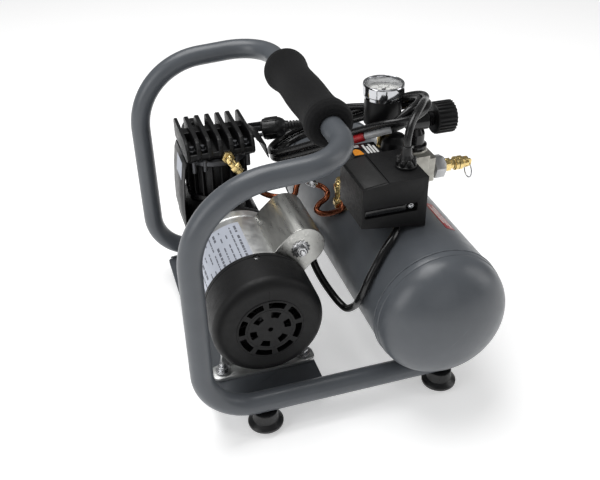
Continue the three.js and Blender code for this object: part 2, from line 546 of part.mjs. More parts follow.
// Power cord: a lead from the gland, a hank of four turns round the gauge, and a tail to the plug.
const leadPoints = [
  v(gland.x, gland.y, 259.9), v(231, -82.9, 263.8), v(235.5, -77, 272), v(244, -67, 279), v(255, -55.5, 284), v(266, -44, 286.5), v(277, -32.5, 287),
];
part('power_cord_lead', blackRubber, tube(smooth(leadPoints, 10), cord.radius, 8));

const run = v(hank.bx - hank.ax, hank.by - hank.ay, 0);
const flat = run.length();
const half = (flat / 2) * Math.hypot(1, hank.slope);
function stadium(radius) {
  const steps = 8;
  return [1, -1].flatMap((end) => Array.from({ length: steps + 1 }, (_, i) => {
    const angle = -Math.PI / 2 + (i / steps) * Math.PI + (end < 0 ? Math.PI : 0);
    return [end * half + radius * Math.cos(angle), radius * Math.sin(angle)];
  }));
}
const hankTilt = new THREE.Matrix4().makeBasis(
  run.clone().setZ(flat * hank.slope).normalize(),
  v(0, 0, 1).cross(run).normalize(),
  run.clone().setZ(flat * hank.slope).normalize().cross(v(0, 0, 1).cross(run).normalize()),
).setPosition((hank.ax + hank.bx) / 2, (hank.ay + hank.by) / 2, hank.az + (flat / 2) * hank.slope);
const onHank = (geometry) => geometry.applyMatrix4(hankTilt);
part('power_cord_hank', blackRubber, onHank(cut(
  raised(stadium(hank.outer), -hank.thick / 2, hank.thick / 2),
  raised(stadium(hank.inner), -hank.thick, hank.thick),
)));

const plug = { x: 146, y: 98.5, z: 210, turn: -0.35, tilt: -0.16 };
const tailPoints = [v(180.2, 86.1, 216.3), v(186, 84.4, 218.4), v(193, 83.2, 221.9), v(201, 82.5, 226.2), v(209, 80.5, 230.2), v(217, 76.5, 233.5)];
part('power_cord_tail', blackRubber, tube(smooth(tailPoints, 6), cord.radius, 8));
function plugShape() {
  const body = turned('x', [[0, -13], [11, -13], [12.5, -11], [12, 8], [9, 13], [6, 15], [5, 35], [0, 35]], 14);
  const blades = [-6.3, 6.3].map((y) => block(-30, y - 0.8, 1, -12, y + 0.8, 7.3));
  const earth = rod('x', 2.4, -33, -12, 8).translate(0, 0, -6.5);
  return join(body, ...blades, earth);
}
part('power_plug', blackRubber, plugShape().rotateY(plug.tilt).rotateZ(plug.turn), plug.x, plug.y, plug.z);

// ---------------------------------------------------------------- origin: centre of the footprint, on the floor
const leftmost = -1 - frame.tube;
const rightmost = valveX + 35;
compressor.position.x = -(leftmost + rightmost) / 2;

export default compressor;
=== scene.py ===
import bpy, bmesh, math, random
from mathutils import Matrix, Vector


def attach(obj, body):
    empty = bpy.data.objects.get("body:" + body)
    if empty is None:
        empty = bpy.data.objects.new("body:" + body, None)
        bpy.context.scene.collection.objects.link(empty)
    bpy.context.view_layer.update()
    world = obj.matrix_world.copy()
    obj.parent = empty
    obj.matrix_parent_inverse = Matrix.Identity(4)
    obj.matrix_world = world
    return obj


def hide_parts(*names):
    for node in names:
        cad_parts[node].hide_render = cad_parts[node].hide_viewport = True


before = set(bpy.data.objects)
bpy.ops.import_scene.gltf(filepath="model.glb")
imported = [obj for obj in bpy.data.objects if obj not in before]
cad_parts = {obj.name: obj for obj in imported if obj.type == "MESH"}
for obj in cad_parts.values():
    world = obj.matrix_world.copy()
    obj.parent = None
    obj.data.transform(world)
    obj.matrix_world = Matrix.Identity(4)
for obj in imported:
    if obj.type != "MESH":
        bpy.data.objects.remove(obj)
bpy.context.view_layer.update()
random.seed(7)
scene = bpy.context.scene

# Shapes below are laid out in millimetres. X is 0 at the left upright's centre,
# Y at the middle plane, Z at the floor.
# SHIFT is the distance from there to the frame's own zero along X.
SHIFT = 170.75
PI = math.pi


def P(x, y, z):
    return Vector(((x - SHIFT) / 1000, y / 1000, z / 1000))


def V(x, y, z):
    return Vector((x, y, z))


# ------------------------------------------------------------------ camera, lights and floor
azimuth, elevation, roll = math.radians(-16.94), math.radians(33.41), math.radians(-0.93)
back = V(math.sin(azimuth) * math.cos(elevation), -math.cos(azimuth) * math.cos(elevation),
         math.sin(elevation))
right = (-back).cross(V(0, 0, 1)).normalized()
up = right.cross(-back)
side = right * math.cos(roll) + up * math.sin(roll)
top = up * math.cos(roll) - right * math.sin(roll)
camera_data = bpy.data.cameras.new("camera")
camera_data.lens = 47.82
camera_data.sensor_width = 36
camera = bpy.data.objects.new("camera", camera_data)
scene.collection.objects.link(camera)
camera.matrix_world = Matrix((
    (side.x, top.x, back.x, (-73 - SHIFT) / 1000),
    (side.y, top.y, back.y, -0.7188),
    (side.z, top.z, back.z, 0.6109),
    (0, 0, 0, 1),
))
scene.camera = camera


def lamp(name, place, aim, size, power, size_y=None):
    data = bpy.data.lights.new(name, "AREA")
    data.energy = power
    data.size = size
    if size_y:
        data.shape = "RECTANGLE"
        data.size_y = size_y
    obj = bpy.data.objects.new(name, data)
    scene.collection.objects.link(obj)
    obj.location = place
    obj.rotation_euler = (Vector(aim) - Vector(place)).to_track_quat("-Z", "Y").to_euler()


lamp("overhead", (-0.25, 0.35, 1.9), (0, 0, 0.15), 1.3, 25)
lamp("left_softbox", (-1.5, -0.5, 0.9), (0, 0, 0.15), 0.9, 8, size_y=1.2)
lamp("right_softbox", (1.5, -0.5, 0.8), (0.05, 0, 0.12), 0.7, 5, size_y=1.2)
lamp("front_fill", (0.1, -1.9, 0.9), (0, 0, 0.12), 1.2, 1.8)
world = bpy.data.worlds.new("studio")
scene.world = world
world.use_nodes = True
tree = world.node_tree
ambient = tree.nodes["Background"]
ambient.inputs["Color"].default_value = (1, 1, 1, 1)
ambient.inputs["Strength"].default_value = 0.17
# The camera sees plain white. Every other ray sees the dimmer world, which lights the object softly.
backdrop = tree.nodes.new("ShaderNodeBackground")
backdrop.inputs["Color"].default_value = (1, 1, 1, 1)
backdrop.inputs["Strength"].default_value = 1.0
choice = tree.nodes.new("ShaderNodeMixShader")
rays = tree.nodes.new("ShaderNodeLightPath")
tree.links.new(rays.outputs["Is Camera Ray"], choice.inputs["Fac"])
tree.links.new(ambient.outputs["Background"], choice.inputs[1])
tree.links.new(backdrop.outputs["Background"], choice.inputs[2])
tree.links.new(choice.outputs["Shader"], tree.nodes["World Output"].inputs["Surface"])
scene.view_settings.view_transform = "Standard"


# ------------------------------------------------------------------ materials
def tone(r, g, b):
    return tuple((c / 255 / 12.92 if c <= 10 else ((c / 255 + 0.055) / 1.055) ** 2.4)
                 for c in (r, g, b)) + (1.0,)


def scaled(color, k):
    return tuple(min(c * k, 1) for c in color[:3]) + (1.0,)


def finish(name, color, rough, metal=0.0, vary=0.08, patch=60, grain=0.0, grain_scale=1800, rough_vary=0.06,
           sheen=0.0, specular=0.5, stretch=None, dent=0.0, wear_and_edge_highlight=0.0):
    """A shader with slow colour and roughness changes, and optional grain, sheen, dents, and edges lightened
    as wear and as a painted highlight.
    """
    material = bpy.data.materials.new(name)
    material.use_nodes = True
    nodes, links = material.node_tree.nodes, material.node_tree.links
    shader = nodes["Principled BSDF"]
    shader.inputs["Metallic"].default_value = metal
    shader.inputs["Specular IOR Level"].default_value = specular
    if sheen:
        shader.inputs["Sheen Weight"].default_value = sheen
        shader.inputs["Sheen Roughness"].default_value = 0.6
    place = nodes.new("ShaderNodeTexCoord").outputs["Object"]
    if stretch:
        mapping = nodes.new("ShaderNodeMapping")
        mapping.inputs["Scale"].default_value = stretch
        links.new(place, mapping.inputs["Vector"])
        grain_place = mapping.outputs["Vector"]
    else:
        grain_place = place

    def noise(scale, detail, source=place, rough=0.55):
        node = nodes.new("ShaderNodeTexNoise")
        node.inputs["Scale"].default_value = scale
        node.inputs["Detail"].default_value = detail
        node.inputs["Roughness"].default_value = rough
        links.new(source, node.inputs["Vector"])
        return node.outputs["Fac"]

    def spread(source, low, high):
        node = nodes.new("ShaderNodeMapRange")
        node.inputs["From Min"].default_value = 0.3
        node.inputs["From Max"].default_value = 0.7
        node.inputs["To Min"].default_value = low
        node.inputs["To Max"].default_value = high
        links.new(source, node.inputs["Value"])
        return node.outputs["Result"]

    ramp = nodes.new("ShaderNodeValToRGB")
    ramp.color_ramp.elements[0].position, ramp.color_ramp.elements[1].position = 0.32, 0.68
    ramp.color_ramp.elements[0].color = scaled(color, 1 - vary)
    ramp.color_ramp.elements[1].color = scaled(color, 1 + vary)
    links.new(noise(patch, 5, grain_place), ramp.inputs["Fac"])
    result = ramp.outputs["Color"]
    # Convex edges (by pointiness) are blended toward a much brighter copy of the colour: partly rubbed wear,
    # partly a painted edge highlight.
    if wear_and_edge_highlight:
        edge = nodes.new("ShaderNodeNewGeometry").outputs["Pointiness"]
        step = nodes.new("ShaderNodeMapRange")
        step.inputs["From Min"].default_value, step.inputs["From Max"].default_value = 0.52, 0.62
        step.inputs["To Max"].default_value = wear_and_edge_highlight
        links.new(edge, step.inputs["Value"])
        mix = nodes.new("ShaderNodeMix")
        mix.data_type = "RGBA"
        links.new(step.outputs["Result"], mix.inputs["Factor"])
        links.new(result, mix.inputs["A"])
        mix.inputs["B"].default_value = scaled(color, 2.2)
        result = mix.outputs["Result"]
    links.new(result, shader.inputs["Base Color"])
    low, high = max(rough - rough_vary, 0.02), min(rough + rough_vary, 1)
    links.new(spread(noise(patch * 2.3, 4, grain_place), low, high), shader.inputs["Roughness"])
    last = None
    if grain:
        bump = nodes.new("ShaderNodeBump")
        bump.inputs["Strength"].default_value = grain
        bump.inputs["Distance"].default_value = 0.0004
        links.new(noise(grain_scale, 3, grain_place, 0.6), bump.inputs["Height"])
        last = bump
    if dent:
        second = nodes.new("ShaderNodeBump")
        second.inputs["Strength"].default_value = dent
        second.inputs["Distance"].default_value = 0.0012
        links.new(noise(35, 2), second.inputs["Height"])
        if last:
            links.new(last.outputs["Normal"], second.inputs["Normal"])
        last = second
    if last:
        links.new(last.outputs["Normal"], shader.inputs["Normal"])
    return material


paint = finish("grey_powder_coat", tone(87, 91, 96), 0.33, vary=0.045, patch=45, grain=0.10, grain_scale=900,
               rough_vary=0.05, dent=0.06, wear_and_edge_highlight=0.12)
foam = finish("foam_sleeve", tone(22, 22, 23), 0.95, vary=0.22, patch=420, grain=0.75, grain_scale=1300,
              sheen=0.04, specular=0.12)
rubber = finish("moulded_rubber", tone(24, 24, 25), 0.34, vary=0.15, patch=150, grain=0.06, grain_scale=1500,
                rough_vary=0.08)
cord_skin = finish("cord_jacket", tone(20, 20, 21), 0.28, vary=0.14, patch=220, grain=0.12, grain_scale=1400,
                   rough_vary=0.09)
cable_skin = finish("cable_jacket", tone(20, 20, 21), 0.22, vary=0.14, patch=180, grain=0.08, grain_scale=900,
                    rough_vary=0.06)
# The black mouldings, castings and paint lighten at their edges, partly as wear and partly as a painted edge
# highlight.
plastic = finish("moulded_black", tone(15, 15, 16), 0.46, specular=0.3, vary=0.10, patch=120, grain=0.22,
                 grain_scale=2600, rough_vary=0.07, wear_and_edge_highlight=0.10)
plastic_panel = finish("moulded_grey_panel", tone(46, 46, 46), 0.42, specular=0.3, vary=0.08, patch=120,
                       grain=0.2, grain_scale=2600)
plastic_gloss = finish("moulded_gloss", tone(22, 22, 23), 0.16, vary=0.08, patch=90, grain=0.04,
                       grain_scale=1500, rough_vary=0.05)
cover_plastic = finish("fan_cover_plastic", tone(17, 17, 18), 0.5, specular=0.3, vary=0.10, patch=70,
                       grain=0.28, grain_scale=2200, rough_vary=0.06, wear_and_edge_highlight=0.08)
cast_black = finish("black_casting", tone(19, 19, 20), 0.38, specular=0.3, vary=0.16, patch=160, grain=0.42,
                    grain_scale=1100, rough_vary=0.1, wear_and_edge_highlight=0.18)
cast_silver = finish("silver_body", tone(222, 223, 222), 0.38, metal=0.9, vary=0.06, patch=55, grain=0.14,
                     grain_scale=900, rough_vary=0.07)
pressed_silver = finish("pressed_cover", tone(196, 196, 192), 0.33, metal=0.95, vary=0.04, patch=140,
                        grain=0.12, grain_scale=900, rough_vary=0.09, stretch=(1, 0.12, 1))
zinc = finish("die_cast_zinc", tone(182, 180, 172), 0.45, metal=0.75, vary=0.10, patch=120, grain=0.35,
              grain_scale=1300, rough_vary=0.1)
hex_grey = finish("plated_hex", tone(186, 187, 188), 0.38, metal=0.85, vary=0.08, patch=160, grain=0.12,
                  grain_scale=1400)
steel = finish("bright_steel", tone(205, 206, 208), 0.24, metal=1.0, vary=0.08, patch=220, grain=0.10,
               grain_scale=1600, rough_vary=0.07)
laminated = finish("laminated_steel", tone(92, 93, 96), 0.5, metal=0.8, vary=0.12, patch=200, grain=0.3,
                   grain_scale=700, stretch=(1, 8, 1))
brass = finish("brass", tone(236, 210, 146), 0.25, metal=1.0, vary=0.10, patch=200, grain=0.10,
               grain_scale=1800, rough_vary=0.08)
copper = finish("copper", tone(140, 82, 58), 0.3, metal=1.0, vary=0.16, patch=150, grain=0.08,
                grain_scale=1600, rough_vary=0.1)
chrome = finish("chrome", tone(196, 197, 200), 0.09, metal=1.0, vary=0.03, patch=90, grain=0.02,
                grain_scale=600, rough_vary=0.03)
red = finish("red_moulding", tone(176, 30, 36), 0.38, vary=0.10, patch=200, grain=0.12, grain_scale=1600)
red_vinyl = finish("red_sticker", tone(150, 18, 30), 0.3, vary=0.06, patch=120, grain=0.04, grain_scale=900)
white_vinyl = finish("white_print", tone(214, 214, 212), 0.42, vary=0.03, patch=120, grain=0.04,
                     grain_scale=900)
label_face = finish("label_face", tone(190, 195, 206), 0.4, metal=0.2, vary=0.04, patch=80, grain=0.05,
                    grain_scale=900)
ink = finish("print_ink", tone(96, 99, 108), 0.5, vary=0.2, patch=300)
satin_black = finish("satin_black", tone(22, 22, 23), 0.36, vary=0.08, patch=90, grain=0.06, grain_scale=1500,
                     rough_vary=0.05, specular=0.22)
black_ink = finish("black_print", tone(22, 22, 23), 0.3, vary=0.1, patch=200)
amber = finish("amber_print", tone(226, 142, 34), 0.35, vary=0.10, patch=300)
sleeve_grey = finish("tie_sleeve", tone(176, 178, 180), 0.25, vary=0.10, patch=250, grain=0.06)
dial_white = finish("dial_white", tone(238, 238, 235), 0.5, vary=0.02, patch=90)
floor_pale = finish("studio_floor", tone(247, 247, 247), 0.85, vary=0.004, patch=3, specular=0.1)

glass = bpy.data.materials.new("clear_lens")
glass.use_nodes = True
shader = glass.node_tree.nodes["Principled BSDF"]
shader.inputs["Base Color"].default_value = (0.95, 0.97, 0.98, 1)
shader.inputs["Roughness"].default_value = 0.03
shader.inputs["Transmission Weight"].default_value = 1.0
shader.inputs["IOR"].default_value = 1.45
shader.inputs["Alpha"].default_value = 0.08
shader.inputs["Specular IOR Level"].default_value = 0.15
haze = glass.node_tree.nodes.new("ShaderNodeTexNoise")
haze.inputs["Scale"].default_value = 300
limits = glass.node_tree.nodes.new("ShaderNodeMapRange")
limits.inputs["To Min"].default_value, limits.inputs["To Max"].default_value = 0.01, 0.06
glass.node_tree.links.new(haze.outputs["Fac"], limits.inputs["Value"])
glass.node_tree.links.new(limits.outputs["Result"], shader.inputs["Roughness"])

floor_mesh = bpy.data.meshes.new("studio_floor")
floor_mesh.from_pydata([(-6, -6, 0), (6, -6, 0), (6, 6, 0), (-6, 6, 0)], [], [(0, 1, 2, 3)])
floor = bpy.data.objects.new("studio_floor", floor_mesh)
floor.location.z = -0.0002
scene.collection.objects.link(floor)
sheet = floor_pale.node_tree.nodes["Principled BSDF"]
sheet.inputs["Emission Color"].default_value = (1, 1, 1, 1)
sheet.inputs["Emission Strength"].default_value = 0.4
floor_mesh.materials.append(floor_pale)


# ------------------------------------------------------------------ shapes, each as (points in mm, faces)
def merge(*shells):
    points, faces = [], []
    for more_points, more_faces in shells:
        start = len(points)
        points += [Vector(p) for p in more_points]
        faces += [tuple(i + start for i in f) for f in more_faces]
    return points, faces


def moved(shell, x=0, y=0, z=0):
    return [Vector(p) + V(x, y, z) for p in shell[0]], shell[1]


def turned_by(shell, axis, degrees, pivot=(0, 0, 0)):
    spin = Matrix.Rotation(math.radians(degrees), 3, axis)
    pivot = Vector(pivot)
    return [spin @ (Vector(p) - pivot) + pivot for p in shell[0]], shell[1]


def aimed(shell, direction, at):
    """Takes a shape built along +Z to a direction and a place."""
    spin = Vector(direction).normalized().to_track_quat("Z", "Y").to_matrix()
    return [spin @ Vector(p) + Vector(at) for p in shell[0]], shell[1]


def softened(points, radius, steps=4, closed=False):
    """Rounds the corners of a flat line."""
    out, count = [], len(points)
    for i, p in enumerate(points):
        p = Vector(p)
        if not closed and i in (0, count - 1):
            out.append(p)
            continue
        a, b = Vector(points[i - 1]) - p, Vector(points[(i + 1) % count]) - p
        if a.length < 1e-6 or b.length < 1e-6 or a.angle(b) > PI - 0.2:
            out.append(p)
            continue
        reach = min(radius / max(math.tan(a.angle(b) / 2), 0.15), a.length * 0.46, b.length * 0.46)
        start, end = p + a.normalized() * reach, p + b.normalized() * reach
        for k in range(steps + 1):
            t = k / steps
            out.append(start * (1 - t) ** 2 + p * 2 * t * (1 - t) + end * t ** 2)
    return out


def lathe(profile, axis="z", at=(0, 0, 0), sides=64, soft=0.0, steps=3):
    """Spins (radius, height) points round an axis. A profile that comes back to its start makes a ring."""
    loop = Vector(profile[0]) == Vector(profile[-1])
    line = [Vector(p) for p in (profile[:-1] if loop else profile)]
    if soft:
        line = softened(line, soft, steps, closed=loop)
    points, rows, faces = [], [], []
    for r, h in line:
        row = []
        if abs(r) < 1e-6:
            row = [len(points)] * sides
            points.append((0, 0, h))
        else:
            for k in range(sides):
                a = 2 * PI * (k + 0.5) / sides
                row.append(len(points))
                points.append((r * math.cos(a), r * math.sin(a), h))
        rows.append(row)
    pairs = list(zip(rows, rows[1:])) + ([(rows[-1], rows[0])] if loop else [])
    for low, high in pairs:
        for k in range(sides):
            ring = []
            for i in (low[k], low[(k + 1) % sides], high[(k + 1) % sides], high[k]):
                if i not in ring:
                    ring.append(i)
            if len(ring) > 2:
                faces.append(tuple(ring))
    if not loop:
        if len(set(rows[0])) > 1:
            faces.append(tuple(reversed(rows[0])))
        if len(set(rows[-1])) > 1:
            faces.append(tuple(rows[-1]))
    turn = {"z": lambda p: V(p[0], p[1], p[2]), "y": lambda p: V(p[1], p[2], p[0]),
            "x": lambda p: V(p[2], p[0], p[1])}[axis]
    return [turn(p) + Vector(at) for p in points], faces


def prism(outline, axis, low, high):
    """Carries a flat outline along an axis: (x, y) along z, (x, z) along y or (y, z) along x."""
    put = {"z": lambda a, b, t: V(a, b, t), "y": lambda a, b, t: V(a, t, b), "x": lambda a, b,
           t: V(t, a, b)}[axis]
    n = len(outline)
    points = [put(a, b, low) for a, b in outline] + [put(a, b, high) for a, b in outline]
    faces = [tuple(range(n)), tuple(range(2 * n - 1, n - 1, -1))]
    faces += [(i, (i + 1) % n, (i + 1) % n + n, i + n) for i in range(n)]
    return points, faces


def block(x0, x1, y0, y1, z0, z1):
    return prism([(x0, y0), (x1, y0), (x1, y1), (x0, y1)], "z", z0, z1)


def rod(radius, low, high, *rest, **more):
    """A plain cylinder; the other arguments are lathe's own."""
    return lathe([(0, low), (radius, low), (radius, high), (0, high)], *rest, **more)


def circle(radius, count, cx=0, cy=0, start=0.0, sweep=2 * PI, ends=False):
    last = count - 1 if ends else count
    return [(cx + radius * math.cos(start + sweep * i / last),
             cy + radius * math.sin(start + sweep * i / last)) for i in range(count)]


def rounded(points, radius, steps=4):
    """A closed outline with its corners rounded."""
    return [tuple(p) for p in softened(points, radius, steps, closed=True)]


def rounded_rectangle(x0, y0, x1, y1, radius, steps=6):
    return rounded([(x0, y0), (x1, y0), (x1, y1), (x0, y1)], radius, steps)


def sweep(line, radius, sides=24, closed=False, ends="flat"):
    """A round bar along a line, with frames carried along so that it does not twist."""
    line = [Vector(p) for p in line]
    count = len(line)
    tangents = []
    for i in range(count):
        a = line[i - 1] if (i or closed) else line[0]
        b = line[(i + 1) % count] if (i < count - 1 or closed) else line[-1]
        tangents.append((b - a).normalized())
    normal = tangents[0].orthogonal().normalized()
    rings, points, faces = [], [], []
    radii = radius if isinstance(radius, (list, tuple)) else [radius] * count
    for i in range(count):
        if i:
            normal = tangents[i - 1].rotation_difference(tangents[i]) @ normal
        normal = (normal - tangents[i] * normal.dot(tangents[i])).normalized()
        other = tangents[i].cross(normal)
        stations = [(0.0, 1.0)]
        if ends == "round" and not closed and i in (0, count - 1):
            bulge = [(math.sin(t), math.cos(t)) for t in (1.35, 1.0, 0.65, 0.3)]
            stations = [(-s, c) for s, c in bulge] + [(0, 1)] if i == 0 else [(0, 1)] + [(s, c) for s,
                                                                                         c in reversed(bulge)]
        for shift, shrink in stations:
            ring = []
            for k in range(sides):
                a = 2 * PI * k / sides
                ring.append(len(points))
                points.append(line[i] + tangents[i] * shift * radii[i] +
                              (normal * math.cos(a) + other * math.sin(a)) * radii[i] * shrink)
            rings.append(ring)
    pairs = list(zip(rings, rings[1:])) + ([(rings[-1], rings[0])] if closed else [])
    for a, b in pairs:
        faces += [(a[k], a[(k + 1) % sides], b[(k + 1) % sides], b[k]) for k in range(sides)]
    if not closed:
        faces += [tuple(reversed(rings[0])), tuple(rings[-1])]
    return points, faces


def smooth_line(points, spacing=2.0):
    """A centripetal line through chosen points, in even steps."""
    points = [Vector(p) for p in points]
    full = [points[0] * 2 - points[1]] + points + [points[-1] * 2 - points[-2]]
    fine = []
    for i in range(1, len(full) - 2):
        p0, p1, p2, p3 = full[i - 1:i + 3]
        t0 = 0.0
        t1 = t0 + max((p1 - p0).length, 1e-6) ** 0.5
        t2 = t1 + max((p2 - p1).length, 1e-6) ** 0.5
        t3 = t2 + max((p3 - p2).length, 1e-6) ** 0.5
        for k in range(24):
            t = t1 + (t2 - t1) * k / 24
            a1 = p0 * ((t1 - t) / (t1 - t0)) + p1 * ((t - t0) / (t1 - t0))
            a2 = p1 * ((t2 - t) / (t2 - t1)) + p2 * ((t - t1) / (t2 - t1))
            a3 = p2 * ((t3 - t) / (t3 - t2)) + p3 * ((t - t2) / (t3 - t2))
            b1 = a1 * ((t2 - t) / (t2 - t0)) + a2 * ((t - t0) / (t2 - t0))
            b2 = a2 * ((t3 - t) / (t3 - t1)) + a3 * ((t - t1) / (t3 - t1))
            fine.append(b1 * ((t2 - t) / (t2 - t1)) + b2 * ((t - t1) / (t2 - t1)))
    fine.append(points[-1])
    return even(fine, spacing)


def even(line, spacing):
    lengths = [0.0]
    for a, b in zip(line, line[1:]):
        lengths.append(lengths[-1] + (b - a).length)
    count = max(2, round(lengths[-1] / spacing))
    out, j = [], 0
    for i in range(count + 1):
        want = lengths[-1] * i / count
        while j < len(line) - 2 and lengths[j + 1] < want:
            j += 1
        step = max(lengths[j + 1] - lengths[j], 1e-9)
        out.append(line[j].lerp(line[j + 1], min(max((want - lengths[j]) / step, 0), 1)))
    return out


def bent(corners, bends, steps=22):
    """Straight runs with a round bend of given radius at each inner corner."""
    corners = [Vector(c) for c in corners]
    line = [corners[0]]
    for i in range(1, len(corners) - 1):
        a = (corners[i - 1] - corners[i]).normalized()
        b = (corners[i + 1] - corners[i]).normalized()
        half = a.angle(b) / 2
        centre = corners[i] + (a + b).normalized() * (bends[i - 1] / math.sin(half))
        start = corners[i] + a * (bends[i - 1] / math.tan(half)) - centre
        axis = b.cross(a).normalized()
        for k in range(steps + 1):
            line.append(Matrix.Rotation((PI - 2 * half) * k / steps, 3, axis) @ start + centre)
    return line + [corners[-1]]


def nut(flats, low, high, at=(0, 0, 0), axis="z", bore=0.0):
    """A hexagon with its corners chamfered."""
    r = flats / math.sqrt(3)
    c = min(r - flats / 2, (high - low) / 3)
    profile = [(bore, low), (r - c, low), (r, low + c * 0.6), (r, high - c * 0.6), (r - c, high),
               (bore, high)]
    if bore:
        profile.append((bore, low))
    return lathe(profile, axis, at, sides=6)


def torus(at, axis, ring, wire, sides=64, around=16):
    put = {"z": lambda a, b: V(a, b, 0), "y": lambda a, b: V(a, 0, b), "x": lambda a, b: V(0, a, b)}[axis]
    line = [put(*p) + Vector(at) for p in circle(ring, sides)]
    return sweep(line, wire, around, closed=True)


# ------------------------------------------------------------------ making pieces
def piece(name, shell, material, body="root", stands_for=(), bevel=0.0, segments=2, sharp=38,
          holes=(), limit=30):
    points, faces = shell
    mesh = bpy.data.meshes.new(name)
    mesh.from_pydata([P(*p) for p in points], [], faces)
    obj = bpy.data.objects.new(name, mesh)
    scene.collection.objects.link(obj)
    tidy(mesh)
    for i, hole in enumerate(holes):
        cutter_mesh = bpy.data.meshes.new(f"{name}_cutter")
        cutter_mesh.from_pydata([P(*p) for p in hole[0]], [], hole[1])
        tidy(cutter_mesh)
        cutter = bpy.data.objects.new(f"{name}_cutter", cutter_mesh)
        scene.collection.objects.link(cutter)
        modifier = obj.modifiers.new("cut", "BOOLEAN")
        modifier.operation, modifier.solver, modifier.object = "DIFFERENCE", "EXACT", cutter
        apply_modifiers(obj)
        bpy.data.objects.remove(cutter)
    if bevel:
        modifier = obj.modifiers.new("edges", "BEVEL")
        modifier.width, modifier.segments = bevel / 1000, segments
        modifier.limit_method, modifier.angle_limit = "ANGLE", math.radians(limit)
        modifier.use_clamp_overlap = True
        apply_modifiers(obj)
    for polygon in obj.data.polygons:
        polygon.use_smooth = True
    obj.data.set_sharp_from_angle(angle=math.radians(sharp))
    obj.data.materials.clear()
    obj.data.materials.append(material)
    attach(obj, body)
    if stands_for:
        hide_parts(*([stands_for] if isinstance(stands_for, str) else stands_for))
    return obj


def tidy(mesh):
    work = bmesh.new()
    work.from_mesh(mesh)
    bmesh.ops.remove_doubles(work, verts=work.verts, dist=1e-7)
    bmesh.ops.recalc_face_normals(work, faces=work.faces)
    work.to_mesh(mesh)
    work.free()


def apply_modifiers(obj):
    bpy.context.view_layer.update()
    graph = bpy.context.evaluated_depsgraph_get()
    fresh = bpy.data.meshes.new_from_object(obj.evaluated_get(graph))
    old = obj.data
    obj.modifiers.clear()
    obj.data = fresh
    fresh.name = old.name
    bpy.data.meshes.remove(old)


# ------------------------------------------------------------------ power cord
# The lead rises from the gland, a little over three turns lie round the gauge in a slanting hank,
# and the tail ends in the plug.
CORD = 3.8
left_end, right_end = V(172, 72, 203), V(253, 2, 253.3)
along = (right_end - left_end).normalized()
across = V(0, 0, 1).cross(along).normalized()
upward = along.cross(across)
middle = (left_end + right_end) / 2
half = (right_end - left_end).length / 2


def on_hank(angle, radius, height):
    """A place on the hank: 0 degrees is its right tip, and positive angles go round by the far side."""
    a = math.radians(angle)
    shift = half if math.cos(a) >= 0 else -half
    flat = along * (shift + radius * math.cos(a)) + across * (radius * math.sin(a))
    return middle + flat + upward * height


def lane_place(turns):
    """Lane radius and height after some turns. Each turn slips to the next lane near the right tip."""
    whole = math.floor(turns)
    part = turns - whole
    blend = min(max((part - 0.80) / 0.20, 0), 1)
    blend = blend * blend * (3 - 2 * blend)
    corner = [45, -45, -135, -225, -315]
    a = math.radians(corner[whole] + (corner[whole + 1] - corner[whole]) * blend)
    return 34.2 + 5.5 * math.cos(a), 5.5 * math.sin(a)


route = [V(231, -83, 259.2), V(231.3, -82.7, 264), V(232.4, -81.5, 269.3), V(234.8, -78.9, 274.6),
         V(238.6, -75, 279), V(244, -69.4, 282.4),
         V(251, -61.8, 284.6), V(258.2, -52.8, 284.9), V(265, -42.8, 283.2), V(271.6, -32.2, 279.6)]
steps = 30
turns_end = 3.3
place = 0.085
while place < turns_end:
    angle = -22 + 360 * place
    radius, height = lane_place(place)
    route.append(on_hank(angle, radius, height))
    place += 1 / steps
tail = [middle + along * s + across * r + upward * h for s, r,
        h in ((44, 30.3, 4.1), (30, 30.5, 5.4), (15, 31.2, 8.2), (0, 32, 11.6))]
tail += [V(217, 76.5, 233.5), V(209, 80.5, 230.4), V(201, 82.5, 226.4), V(193, 83.2, 222),
         V(186, 84.4, 218.6), V(180.4, 86.0, 216.4)]
cord_line = smooth_line(route + tail, 2.4)
cord = piece("power_cord", sweep(cord_line, CORD, 16), cord_skin,
             stands_for=["power_cord_lead", "power_cord_hank", "power_cord_tail"], sharp=60)

plug_spin = Matrix.Rotation(-0.35, 3, "Z") @ Matrix.Rotation(-0.16, 3, "Y")


def at_plug(shell):
    return [plug_spin @ Vector(p) + V(146, 98.5, 210) for p in shell[0]], shell[1]


body = lathe([(0, -13), (10.2, -13), (12.2, -11.5), (12.4, 4), (11.6, 8), (9.2, 12.4), (6.6, 14.5), (6.3, 17),
              (0, 17)], "x", sides=48, soft=1.6)
grips = [turned_by(block(-9, 6, -1.1, 1.1, 11.4, 13.1), "X", a) for a in range(20, 360, 40)]
reliefs = [lathe([(0, 16 + i * 3.6), (6.2 - i * 0.25, 16 + i * 3.6), (6.2 - i * 0.25, 18.2 + i * 3.6),
                  (4.4, 18.4 + i * 3.6), (4.4, 20 + i * 3.6), (0, 20 + i * 3.6)], "x", sides=28, soft=0.4)
           for i in range(5)]
plug = piece("plug_body", at_plug(merge(body, *grips, *reliefs)), rubber,
             stands_for="power_plug", bevel=0.35, sharp=40)
blades = [block(-30, -12, y - 0.8, y + 0.8, 1, 7.3) for y in (-6.3, 6.3)]
earth = lathe([(0, -33), (1.4, -33), (2.4, -31.4), (2.4, -12), (0, -12)], "x", (0, 0, -6.5), 24, soft=0.5)
blade_piece = piece("plug_blades", at_plug(merge(*blades, earth)), laminated, bevel=0.25)


def collar(name, start, end, radius, material):
    """A short sleeve on the cord between two distances along it, in millimetres from the gland."""
    total, line = 0.0, []
    for a, b in zip(cord_line, cord_line[1:]):
        total += (b - a).length
        if start <= total <= end:
            line.append(b)
    piece(name, sweep(line, radius, 20, ends="round"), material, sharp=50)


